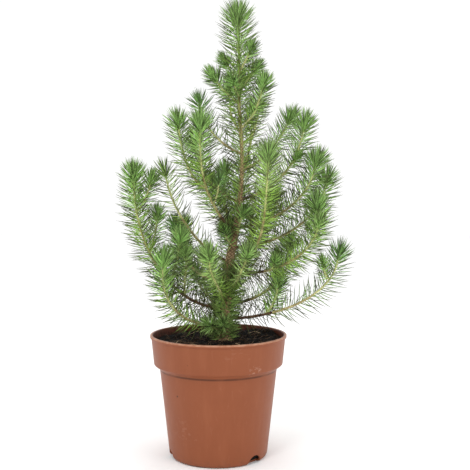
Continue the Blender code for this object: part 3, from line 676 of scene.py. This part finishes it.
YOUNG_BARK_CRACK, YOUNG_BARK_SCALE = (0.220, 0.170, 0.070), (0.500, 0.410, 0.190)
GREEN_BARK_CRACK, GREEN_BARK_SCALE = (0.140, 0.210, 0.060), (0.340, 0.450, 0.140)
YOUNG_FROM, YOUNG_FULL, GREEN_FROM, GREEN_FULL = 0.235, 0.330, 0.375, 0.400


def trunk_at(height):
    """The trunk's middle and radius at a height, on a smooth curve through its stations."""
    rows = np.array(TRUNK_STATIONS)
    i = next((k for k in range(len(rows) - 2) if height < rows[k + 1][0]), len(rows) - 2)
    low, high = rows[i], rows[i + 1]
    before, after = rows[max(i - 1, 0)], rows[min(i + 2, len(rows) - 1)]
    span = high[0] - low[0]
    slope_low = (high - before) / (high[0] - before[0]) * span
    slope_high = (after - low) / (after[0] - low[0]) * span
    t = (height - low[0]) / span
    _, x, y, radius = (
        (2 * t**3 - 3 * t**2 + 1) * low + (t**3 - 2 * t**2 + t) * slope_low
        + (3 * t**2 - 2 * t**3) * high + (t**3 - t**2) * slope_high
    )
    return Vector((x, y, height)), radius


def scale_relief(around, along, columns):
    """How high the scales between two crossed spirals stand at a place, from 0 in the cracks to 1."""
    first = (around * columns + along) % 1
    second = (-around * columns + along * SECOND_SPIRAL) % 1
    tilted = 1 - SCALE_TILT + SCALE_TILT * first
    return (1 - abs(2 * first - 1) ** 3) * (1 - abs(2 * second - 1) ** 3) * tilted


heights = np.arange(SOIL_LEVEL - BARK_UNDER_SOIL, TRUNK_STATIONS[-1][0], BARK_STEP)
bark_points, bark_relief = [], []
for height in heights:
    middle, radius = trunk_at(max(height, SOIL_LEVEL))
    columns = max(3, round(2 * math.pi * radius / SCALE_WIDTH / 2))
    flare = FLARE_RIDGE * math.exp(-(height - SOIL_LEVEL) / FLARE_HEIGHT)
    depth = SCALE_DEPTH * min(1, radius / DEEP_SCALE_RADIUS)
    for k in range(BARK_SIDES):
        around = k / BARK_SIDES
        angle = 2 * math.pi * around
        out = Vector((math.cos(angle), math.sin(angle), 0))
        ridge = flare * (math.cos(5 * angle + 0.6) + 0.6 * math.cos(3 * angle + 2.0))
        crack = noise.fractal((middle + out * radius) / CRACK_SIZE, 0.8, 2.0, 4)
        scales = scale_relief(around, height / SCALE_HEIGHT, columns)
        relief = SCALE_SHARE * scales + (1 - SCALE_SHARE) * (0.5 + crack * 0.6)
        bark_points.append(middle + out * (radius + ridge + depth * (relief - 0.75) + crack * CRACK_DEPTH))
        bark_relief.append(relief)
bark_faces = []
for i in range(len(heights) - 1):
    low, high = i * BARK_SIDES, (i + 1) * BARK_SIDES
    for k in range(BARK_SIDES):
        after = (k + 1) % BARK_SIDES
        bark_faces.append((low + k, low + after, high + after, high + k))
bark_faces.append(tuple(reversed(range(BARK_SIDES))))
bark_faces.append(tuple(range((len(heights) - 1) * BARK_SIDES, len(heights) * BARK_SIDES)))
bark_shape = bpy.data.meshes.new("trunk_bark")
bark_shape.from_pydata(bark_points, [], bark_faces)
bark_shape.shade_smooth()
bark_shape.attributes.new("relief", "FLOAT", "POINT").data.foreach_set("value", bark_relief)
scaly_bark, tree = new_finish("scaly_bark")
relief = add_node(tree, "ShaderNodeAttribute", output="Fac", attribute_name="relief")
height = object_place(tree).part("Z")
old_bark = blend(step_between(relief, 0.15, 0.85), OLD_BARK_CRACK, OLD_BARK_SCALE)
old_bark = blend(grain(tree, 0.007, 4) * 0.6, old_bark, OLD_BARK_MOTTLE)
young_bark = blend(step_between(relief, 0.1, 0.8), YOUNG_BARK_CRACK, YOUNG_BARK_SCALE)
green_bark = blend(step_between(relief, 0.1, 0.8), GREEN_BARK_CRACK, GREEN_BARK_SCALE)
greening = step_between(height + grain(tree, 0.012, 3) * 0.02, GREEN_FROM, GREEN_FULL)
young_bark = blend(greening, young_bark, green_bark)
youth = step_between(height + grain(tree, 0.012, 3) * 0.04, YOUNG_FROM, YOUNG_FULL)
coat(
    tree,
    Base_Color=blend(youth, old_bark, young_bark),
    Roughness=0.80 - relief * 0.12,
    Normal=bumped(grain(tree, 0.0009, 4) + relief * 0.5, 0.0003),
    Specular_IOR_Level=0.3,
)
trunk = placed("trunk_bark", bark_shape, scaly_bark)
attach(trunk, "root")
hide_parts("trunk")

# The boughs: each leaves the trunk and sweeps up to its bud, brown at its foot, then tan and yellow-green.
# SHOOTS gives its height, azimuth, reach, rise, upward sweep, bare share and tint, TWIGS leave a shoot at a
# share of it, and TUFTS leave the trunk. Needles cover all but BARE_SHARE of a bare stretch.
SHOOTS = (
    ("low_left", 0.138, 189, 0.087, 0.121, 1.0, 0.22, "fresh"),
    ("low_right", 0.128, -8, 0.107, 0.057, 0.9, 0.20, "shaded_deep"),
    ("foot_left", 0.124, 205, 0.062, 0.055, 1.3, 0.22, "fresh"),
    ("foot_front", 0.146, 250, 0.043, 0.040, 0.5, 0.20, "bright"),
    ("foot_right", 0.156, -59, 0.035, 0.031, 0.5, 0.0, "bright"),
    ("right_low", 0.172, -17, 0.087, 0.058, 1.2, 0.22, "fresh"),
    ("right_mid", 0.196, 9, 0.092, 0.060, 0.9, 0.20, "mid"),
    ("right_high", 0.215, -8, 0.075, 0.057, 0.8, 0.20, "fresh"),
    ("right_top", 0.242, 5, 0.061, 0.066, 0.75, 0.15, "mid"),
    ("right_inner", 0.270, 29, 0.052, 0.047, 0.45, 0.0, "mid"),
    ("front_right", 0.170, -51, 0.058, 0.105, 1.0, 0.24, "bright"),
    ("front_left", 0.215, 231, 0.052, 0.088, 1.0, 0.20, "fresh"),
    ("left_mid", 0.182, 171, 0.062, 0.080, 0.6, 0.25, "sparse"),
    ("left_high", 0.286, 154, 0.044, 0.045, 0.6, 0.0, "shaded_deep"),
    ("crown_right", 0.310, -22, 0.022, 0.036, 0.5, 0.0, "fresh"),
    ("crown_left", 0.334, 190, 0.022, 0.021, 0.2, 0.0, "fresh"),
    ("crown_front", 0.340, 252, 0.016, 0.010, 0.2, 0.0, "fresh"),
    ("top_right", 0.348, 28, 0.017, 0.018, 0.2, 0.0, "fresh"),
    ("top_left", 0.357, 153, 0.013, 0.015, 0.2, 0.0, "mid"),
    ("top_front", 0.365, -45, 0.013, 0.015, 0.2, 0.0, "mid"),
    ("back_low_left", 0.132, 112, 0.064, 0.046, 1.1, 0.22, "shaded_deep"),
    ("back_low_right", 0.142, 42, 0.089, 0.048, 1.1, 0.22, "mid"),
    ("back_left", 0.162, 128, 0.086, 0.046, 1.0, 0.22, "shaded_deep"),
    ("back_right", 0.186, 64, 0.090, 0.054, 1.0, 0.22, "shaded_deep"),
    ("back_mid", 0.206, 98, 0.073, 0.060, 0.9, 0.20, "mid"),
    ("back_high", 0.240, 143, 0.056, 0.054, 0.7, 0.20, "shaded_deep"),
    ("back_top", 0.262, 75, 0.042, 0.066, 0.5, 0.0, "sparse"),
    ("back_upper_right", 0.294, 62, 0.038, 0.036, 0.5, 0.0, "sparse"),
    ("back_upper_left", 0.304, 112, 0.031, 0.040, 0.5, 0.0, "sparse"),
    ("back_crown", 0.330, 82, 0.022, 0.027, 0.3, 0.0, "shaded_deep"),
    ("back_inner_low", 0.160, 86, 0.036, 0.048, 0.5, 0.0, "mid"),
    ("back_inner_high", 0.222, 84, 0.034, 0.048, 0.5, 0.0, "sparse"),
)
TWIGS = (
    ("low_left", 0.30, 290, 0.004, 0.036, 0.3, "bright"),
    ("low_left", 0.42, 335, 0.011, 0.038, 0.3, "fresh"),
    ("low_left", 0.62, 60, 0.011, 0.032, 0.4, "mid"),
    ("low_left", 0.85, 15, 0.013, 0.026, 0.4, "mid"),
    ("low_right", 0.24, 5, 0.013, 0.026, 0.6, "fresh"),
    ("low_right", 0.78, 220, 0.007, 0.012, 0.3, "mid"),
    ("foot_front", 0.42, 170, 0.009, 0.024, 0.4, "fresh"),
    ("right_low", 0.30, 285, 0.011, 0.006, 0.4, "mid"),
    ("right_low", 0.72, 300, 0.009, 0.014, 0.4, "bright"),
    ("right_high", 0.44, 150, 0.008, 0.012, 0.3, "mid"),
    ("right_top", 0.64, 300, 0.008, 0.004, 0.3, "mid"),
    ("front_left", 0.60, 160, 0.028, 0.056, 0.7, "mid"),
    ("front_left", 0.46, 300, 0.010, 0.018, 0.3, "shaded_deep"),
    ("back_left", 0.55, 200, 0.014, 0.034, 0.5, "shaded_deep"),
    ("back_right", 0.60, 5, 0.014, 0.036, 0.5, "shaded_deep"),
    ("back_low_right", 0.55, 80, 0.012, 0.022, 0.5, "mid"),
    ("back_mid", 0.48, 50, 0.016, 0.026, 0.5, "mid"),
    ("back_mid", 0.66, 150, 0.014, 0.022, 0.5, "fresh"),
    ("back_right", 0.38, 100, 0.012, 0.026, 0.5, "fresh"),
    ("back_left", 0.76, 80, 0.012, 0.022, 0.5, "fresh"),
    ("back_low_left", 0.50, 160, 0.014, 0.020, 0.5, "mid"),
)
TUFTS = (
    (0.1175, 268, 0.014, 0.007, "bright"),
    (0.1165, 230, 0.019, 0.007, "bright"),
    (0.1970, 235, 0.012, 0.013, "fresh"),
    (0.2100, -62, 0.014, 0.016, "mid"),
)
# Each age of wood: between which distances from the bud it lies, its light and dark, and its roughness.
WOOD = (
    ("old_wood", 0.085, 9.0, (0.150, 0.082, 0.042), (0.050, 0.026, 0.014), 0.0011),
    ("tan_wood", 0.042, 0.085, (0.600, 0.510, 0.250), (0.300, 0.235, 0.100), 0.0008),
    ("young_wood", -1.0, 0.042, (0.770, 0.740, 0.350), (0.480, 0.490, 0.200), 0.0005),
)
WOOD_OVERLAP, WOOD_STEPS = 0.003, 48
BOUGH_LEAST_RADIUS, BOUGH_ROOT_RADIUS, BUD_RADIUS, TWIG_ROOT_RADIUS = 0.0010, 0.0015, 0.00065, 0.0009
TAPER = 0.8
LONG_SHOOT = 0.130
SWAY, SHOOT_PHASE, TWIG_PHASE = 0.0022, 1.7, 9.0
SHOOT_STEPS, TWIG_STEPS = 12, 6
TUFT_SWEEP = 0.3
NEEDLES_FROM, BARE_SHARE = 0.05, 0.30


def size_share(reach, rise):
    return min(1.0, (reach + rise) / LONG_SHOOT)


def path_of(start, azimuth, reach, rise, sweep, phase, steps):
    """A shoot's axis: out from its start, then sweeping up to its bud, with a little sway."""
    out = Vector((math.cos(math.radians(azimuth)), math.sin(math.radians(azimuth)), 0))
    side = Vector((-out.y, out.x, 0))
    sway = SWAY * size_share(reach, rise)
    points = []
    for i in range(steps + 1):
        t = i / steps
        quarter = t * math.pi / 2
        outward = (1 - sweep) * t + sweep * math.sin(quarter)
        upward = (1 - sweep) * t + sweep * (1 - math.cos(quarter))
        bend = sway * math.sin(math.pi * 2 * t + phase) * math.sin(math.pi * t)
        points.append(start + out * (reach * outward) + Vector((0, 0, rise * upward)) + side * bend)
    return points


def point_along(points, share):
    place = share * (len(points) - 1)
    i = min(int(place), len(points) - 2)
    return points[i].lerp(points[i + 1], place - i)


def with_lengths(points):
    """The points, and how far along the path each lies from the bud."""
    steps = [0.0] + [(b - a).length for a, b in zip(points, points[1:])]
    done = np.cumsum(steps)
    return list(zip(points, done[-1] - done))


def wood_threads(stems, near, far):
    """The stretch of each stem between two distances from its bud, with its radius at each spot."""
    threads = []
    for points, root, _, _ in stems:
        rows = with_lengths([point_along(points, k / WOOD_STEPS) for k in range(WOOD_STEPS + 1)])
        whole = rows[0][1]
        thread = [
            (spot, BUD_RADIUS + (root - BUD_RADIUS) * (left / whole) ** TAPER)
            for spot, left in rows if near - WOOD_OVERLAP <= left <= far
        ]
        if len(thread) > 1:
            threads.append(thread)
    return threads


stems = []
for number, (name, height, azimuth, reach, rise, sweep, bare, tint) in enumerate(SHOOTS):
    start = trunk_at(height)[0]
    shoot = path_of(start, azimuth, reach, rise, sweep, number * SHOOT_PHASE, SHOOT_STEPS)
    root = BOUGH_LEAST_RADIUS + (BOUGH_ROOT_RADIUS - BOUGH_LEAST_RADIUS) * size_share(reach, rise)
    stems.append((shoot, root, max(NEEDLES_FROM, bare * BARE_SHARE), tint))
    for bearer, at, azimuth, reach, rise, sweep, tint in TWIGS:
        if bearer == name:
            twig = path_of(point_along(shoot, at), azimuth, reach, rise, sweep, at * TWIG_PHASE, TWIG_STEPS)
            stems.append((twig, TWIG_ROOT_RADIUS, NEEDLES_FROM, tint))
for height, azimuth, reach, rise, tint in TUFTS:
    tuft = path_of(trunk_at(height)[0], azimuth, reach, rise, TUFT_SWEEP, height, TWIG_STEPS)
    stems.append((tuft, TWIG_ROOT_RADIUS, NEEDLES_FROM, tint))

for wood, near, far, light, dark, roughness in WOOD:
    stem_finish, tree = new_finish(wood + "_bark")
    tone = grain(tree, 0.0021, 4)
    coat(
        tree, Base_Color=blend(step_between(tone, 0.35, 0.70), dark, light), Roughness=0.75,
        Normal=bumped(grain(tree, 0.0008, 4), 0.0003), Specular_IOR_Level=0.3,
    )
    piece = grown(
        wood, thread_curves(wood, wood_threads(stems, near, far)), thread_tree, stem_finish,
        Spacing=0.0008, Sides=12, Roughness=roughness,
    )
    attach(piece, "root")
    if wood == "old_wood":
        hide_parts(*[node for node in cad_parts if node.endswith("_bough")])

# The needles: single soft juvenile needles, each slightly bowed, that stand in a golden-angle spiral all
# along the shoots and the upper trunk. They lie close to the shoot at its bud, as a dense bright tuft, and
# spread wide lower down, where they are darker, partly for their age and partly as painted shade. A last
# set of them hides the trunk's foot.
NEEDLE_LENGTH, NEEDLE_RADIUS, NEEDLE_FLATNESS = 0.0222, 0.00041, 0.72
GOLDEN_ANGLE, STRAY_TURN = 137.508, 16.0
BUD_ANGLE, SPREAD_ANGLE, LEAST_ANGLE = 4.0, 62.0, 3.0
OPENING, OPENING_POWER = 0.0041, 0.75
TUFTING, NEEDLE_STEPS = 1.35, 40
TIP_GROWTH, TIP_SHORTENING, TIP_REACH = 0.0072, 0.29, 0.012
SHORT_STEM_SHARE, LONG_STEM = 0.62, 0.070
LEADER_FROM, LEADER_SHARE, LEADER_THINNING = 0.222, 1.20, 1.35
FOOT_HEIGHTS, FOOT_SHARES, FOOT_POINTS = (SOIL_LEVEL, 0.152, 0.180), (0.80, 1.08, 0.45), 20
PAST_SOLIDS, SOIL_CLEARANCE, FOOT_CLEARANCE = Vector((0.0055, 0.004, 0.010)), 0.0015, 0.001
WHOLE_SHOOT = 9.0
# The first colour is painted shade that darkens each needle towards its tip; the second is its paler foot.
TIP_SHADE, FOOT_TINT = (0.070, 0.075, 0.030), (0.500, 0.530, 0.240)
SEED_STEP, FOOT_SEED = 11, 97
# How far a tint's light and dark needles lie from its colour, as shares of their band's contrast.
LIGHTER, DARKER = 0.85, -1
# The colour of each tint, and how much farther apart its needles stand. The tints are partly painted light
# and shade: the lightest sits mostly on front shoots and the tufts at the trunk's foot, and the darkest
# mostly on back and underside shoots in the crown's shade.
TINTS = {
    "bright": ((0.385, 0.630, 0.190), 0.9),
    "fresh": ((0.310, 0.528, 0.152), 0.95),
    "mid": ((0.280, 0.478, 0.130), 1.25),
    "shaded_deep": ((0.178, 0.342, 0.092), 2.1),
    "sparse": ((0.330, 0.500, 0.140), 2.7),
    "leader": ((0.315, 0.515, 0.155), 0.95),
}
# How far from the bud each band of needles ends, how long and how closely they stand, their shade and its
# contrast, how strong the pale foot and the painted shade at the tip are, and how unruly, short and bowed
# they may be.
# The darker shade of the lower and old bands is partly older needles' own colour, partly painted shade.
BANDS = (
    ("tuft", 0.008, 1.13, 0.000095, (1.02, 1.02, 1.02), 0.78, 0.30, 0.50, 13.0, 0.72, 0.8),
    ("upper", 0.034, 1.0, 0.00025, (1.06, 1.05, 0.98), 0.82, 0.45, 0.85, 9.0, 0.80, 1.1),
    ("lower", 0.088, 1.0, 0.00027, (0.80, 0.79, 0.48), 0.86, 0.30, 0.95, 14.0, 0.72, 1.8),
    ("old", WHOLE_SHOOT, 0.95, 0.00031, (0.30, 0.20, 0.13), 0.92, 0.10, 0.97, 19.0, 0.62, 2.8),
)


def captured(tree, shape, domain, **fields):
    """The shape with fields kept on its points or curves, and then a Signal for each field."""
    keeper = tree.nodes.new("GeometryNodeCaptureAttribute")
    keeper.domain = domain
    tree.links.new(shape.socket, keeper.inputs["Geometry"])
    for name, field in fields.items():
        keeper.capture_items.new("FLOAT", name)
        tree.links.new(field.socket, keeper.inputs[name])
    return [Signal(tree, keeper.outputs[name]) for name in ("Geometry", *fields)]


def turned_by(rotation, axis, degrees):
    """A rotation that is turned further about one of its own axes."""
    values = {"Axis": axis, "Angle": degrees * math.radians(1)}
    by = add_node(degrees.tree, "FunctionNodeAxisAngleToRotation", values)
    values = {"Rotation": rotation, "Rotate By": by}
    return add_node(degrees.tree, "FunctionNodeRotateRotation", values, rotation_space="LOCAL")


tree, given = new_tree(
    "spiral_of_needles",
    ("Spacing", "Tufting", "Near", "Far", "Length", "Radius", "Bud Angle", "Spread Angle", "Opening", "Turn",
     "Bow", "Unruly", "Shortest"),
    {"Low Corner": "Vector", "High Corner": "Vector", "Seed": "Int"},
)
# Needles start at beads along the stem, which stand closer towards its bud where Tufting is over 1.
index = add_node(tree, "GeometryNodeInputIndex")
whole = add_node(tree, "GeometryNodeSplineLength", output="Length")
share = add_node(tree, "GeometryNodeSplineParameter", output="Factor")
lines, whole, number = captured(tree, given["Shape"], "CURVE", Whole=whole, Number=index)
lines, share = captured(tree, lines, "POINT", Share=share)
values = {"Curve": lines, "Length": given["Spacing"]}
beads = add_node(tree, "GeometryNodeCurveToPoints", values, "Points", mode="LENGTH")
left = (1 - share).most(0.0) ** given["Tufting"]
own_radius = add_node(tree, "GeometryNodeInputRadius")
sampled = add_node(
    tree, "GeometryNodeSampleCurve",
    {"Curves": given["Shape"], "Value": own_radius, "Factor": 1 - left, "Curve Index": number},
    mode="FACTOR", use_all_curves=False,
)
length_share, stem_place, tangent, normal = (
    Signal(tree, open_socket(sampled.socket.node.outputs, label))
    for label in ("Value", "Position", "Tangent", "Normal")
)
beads = add_node(tree, "GeometryNodeSetPosition", {"Geometry": beads, "Position": stem_place})
from_bud = left * whole
# A needle leans away from the stem more and more with its distance from the bud.
opened = (from_bud / given["Opening"]) ** OPENING_POWER
closed = add_node(tree, "ShaderNodeMath", {0: opened * -1.0}, operation="EXPONENT")
angle = given["Spread Angle"] + (given["Bud Angle"] - given["Spread Angle"]) * closed
angle = (angle + vary(tree, -1.0, 1.0, given["Seed"] + 1) * given["Unruly"]).most(LEAST_ANGLE)
around = index * given["Turn"] + vary(tree, -STRAY_TURN, STRAY_TURN, given["Seed"] + 2)
facing = add_node(
    tree, "FunctionNodeAxesToRotation", {"Primary Axis": tangent, "Secondary Axis": normal},
    primary_axis="Z", secondary_axis="X",
)
facing = turned_by(turned_by(facing, (0, 0, 1), around), (0, 1, 0), angle)
length = given["Length"] * length_share * vary(tree, given["Shortest"], 1.05, given["Seed"] + 3)
upright = add_node(tree, "ShaderNodeCombineXYZ", {"Z": length})
end = stem_place + add_node(tree, "FunctionNodeRotateVector", {"Vector": upright, "Rotation": facing})
# A needle whose tip would leave the box, or that belongs to another band, is left out.
room = (given["High Corner"] - end).least(end - given["Low Corner"])
kept = room.part("X").least(room.part("Y")).least(room.part("Z")).above(0.0)
kept = kept * from_bud.above(given["Near"]) * from_bud.below(given["Far"])
# One needle: a flattened blade of unit length with a blunt foot and a sharp tip, bowed to one side.
rib = add_node(tree, "GeometryNodeCurvePrimitiveLine", {"Start": (0, 0, 0), "End": (0, 0, 1)}, "Curve")
rib = add_node(tree, "GeometryNodeResampleCurve", {"Curve": rib, "Count": 4})
along = add_node(tree, "GeometryNodeSplineParameter", output="Factor")
swelling = ((1 - along**3.2) * (0.75 + along * 0.55)).most(0.06)
rib = add_node(tree, "GeometryNodeSetCurveRadius", {"Curve": rib, "Radius": swelling})
blade = swept(tree, rib, 4)
up = add_node(tree, "GeometryNodeInputPosition").part("Z")
bow = add_node(tree, "ShaderNodeCombineXYZ", {"X": up * (1 - up) * given["Bow"] * 4})
blade = add_node(tree, "GeometryNodeSetPosition", {"Geometry": blade, "Offset": bow})
blade = add_node(
    tree, "GeometryNodeStoreNamedAttribute", {"Geometry": blade, "Name": "along", "Value": up},
    data_type="FLOAT", domain="POINT",
)
across = given["Radius"] * vary(tree, 0.85, 1.12, given["Seed"] + 4)
values = {"X": across, "Y": across * NEEDLE_FLATNESS, "Z": length}
size = add_node(tree, "ShaderNodeCombineXYZ", values)
needles = add_node(
    tree, "GeometryNodeInstanceOnPoints",
    {"Points": beads, "Selection": kept, "Instance": blade, "Rotation": facing, "Scale": size}, "Instances",
)
toned = add_node(
    tree, "GeometryNodeStoreNamedAttribute",
    {"Geometry": needles, "Name": "tone", "Value": vary(tree, 0.0, 1.0, given["Seed"] + 5)},
    data_type="FLOAT", domain="INSTANCE",
)
close_tree(tree, toned, given["Finish"])
needle_tree = tree


def needle_line(points, grown_share):
    """A line for needles, a little longer than its stem, with the share of the full length at each spot."""
    tip = points[-1] + (points[-1] - points[-2]).normalized() * (TIP_GROWTH * grown_share)
    return [
        (spot, grown_share * (1 - TIP_SHORTENING * math.exp(-left / TIP_REACH)))
        for spot, left in with_lengths([*points, points[-1].lerp(tip, 0.5), tip])
    ]


leader = [trunk_at(height)[0] for height in np.linspace(LEADER_FROM, TRUNK_STATIONS[-1][0], NEEDLE_STEPS)]
sprays = {tint: [] for tint in TINTS}
for points, _, first, tint in stems:
    fine = [point_along(points, first + (1 - first) * k / NEEDLE_STEPS) for k in range(NEEDLE_STEPS + 1)]
    grown_share = min(1, SHORT_STEM_SHARE + (1 - SHORT_STEM_SHARE) * with_lengths(fine)[0][1] / LONG_STEM)
    sprays[tint].append(needle_line(fine, grown_share))
sprays["leader"].append(needle_line(leader, LEADER_SHARE))
needle_room = {
    "Low Corner": (cad_low.x - PAST_SOLIDS.x, cad_low.y - PAST_SOLIDS.y, SOIL_LEVEL + SOIL_CLEARANCE),
    "High Corner": tuple(cad_high + PAST_SOLIDS),
}
# All the masses of the solids are replaced by the first piece of needles.
masses = [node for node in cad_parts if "needles" in node or node.startswith("tuft")]
finishes = {}
for number, (tint, lines) in enumerate(sprays.items()):
    colour, thinned = TINTS[tint]
    near = -1.0
    for band, far, longer, spacing, shade, contrast, pale, tip_shading, unruly, shortest, bow in BANDS:
        if tint == "leader" and band == "lower":
            far, spacing = WHOLE_SHOOT, spacing * LEADER_THINNING
        if tint == "leader" and band == "old":
            continue
        needle_finish, tree = new_finish(f"{tint}_{band}_needle")
        tone = add_node(tree, "ShaderNodeAttribute", output="Fac", attribute_name="tone")
        along = add_node(tree, "ShaderNodeAttribute", output="Fac", attribute_name="along")
        tone = step_between(tone * 0.85 + grain(tree, 0.006, 3) * 0.30 - 0.07, 0.12, 0.88)
        # The band's shade scales the tint; for the lower and old bands that is partly painted shade.
        light, dark = (
            tuple(min(1, part * share * (1 + way * contrast)) for part, share in zip(colour, shade))
            for way in (LIGHTER, DARKER)
        )
        needle_colour = blend(tone, dark, light)
        needle_colour = blend((1 - step_between(along, 0.02, 0.35)) * pale, needle_colour, FOOT_TINT)
        # Each needle is darkened towards its tip with painted shade.
        coat(
            tree, Base_Color=blend(step_between(along, 0.25, 0.95) * tip_shading, needle_colour, TIP_SHADE),
            Roughness=0.55, Normal=bumped(grain(tree, 0.0006, 2), 0.00008), Specular_IOR_Level=0.22,
        )
        finishes[tint, band] = needle_finish
        piece = grown(
            f"{tint}_{band}_needles", thread_curves(f"{tint}_{band}", lines), needle_tree, needle_finish,
            Spacing=spacing * thinned, Tufting=TUFTING, Near=near, Far=far,
            Length=NEEDLE_LENGTH * longer, Radius=NEEDLE_RADIUS, Opening=OPENING, Turn=GOLDEN_ANGLE,
            Bow=bow, Unruly=unruly, Shortest=shortest, Seed=SEED_STEP * number,
            **{"Bud Angle": BUD_ANGLE, "Spread Angle": SPREAD_ANGLE}, **needle_room,
        )
        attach(piece, "root")
        if masses:
            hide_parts(*masses)
            masses = []
        near = far

foot_heights = np.linspace(SOIL_LEVEL + FOOT_CLEARANCE, FOOT_HEIGHTS[-1], FOOT_POINTS)
foot_shares = np.interp(foot_heights, FOOT_HEIGHTS, FOOT_SHARES)
foot_line = [(trunk_at(height)[0], share) for height, share in zip(foot_heights, foot_shares)]
piece = grown(
    "foot_needles", thread_curves("trunk_foot", [foot_line]), needle_tree, finishes["sparse", "tuft"],
    Spacing=0.00006, Tufting=1.0, Near=0.0, Far=WHOLE_SHOOT, Length=NEEDLE_LENGTH, Radius=NEEDLE_RADIUS,
    Opening=0.022, Turn=GOLDEN_ANGLE, Bow=3.0, Unruly=20.0, Shortest=0.7, Seed=FOOT_SEED,
    **{"Bud Angle": 40.0, "Spread Angle": 82.0}, **needle_room,
)
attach(piece, "root")
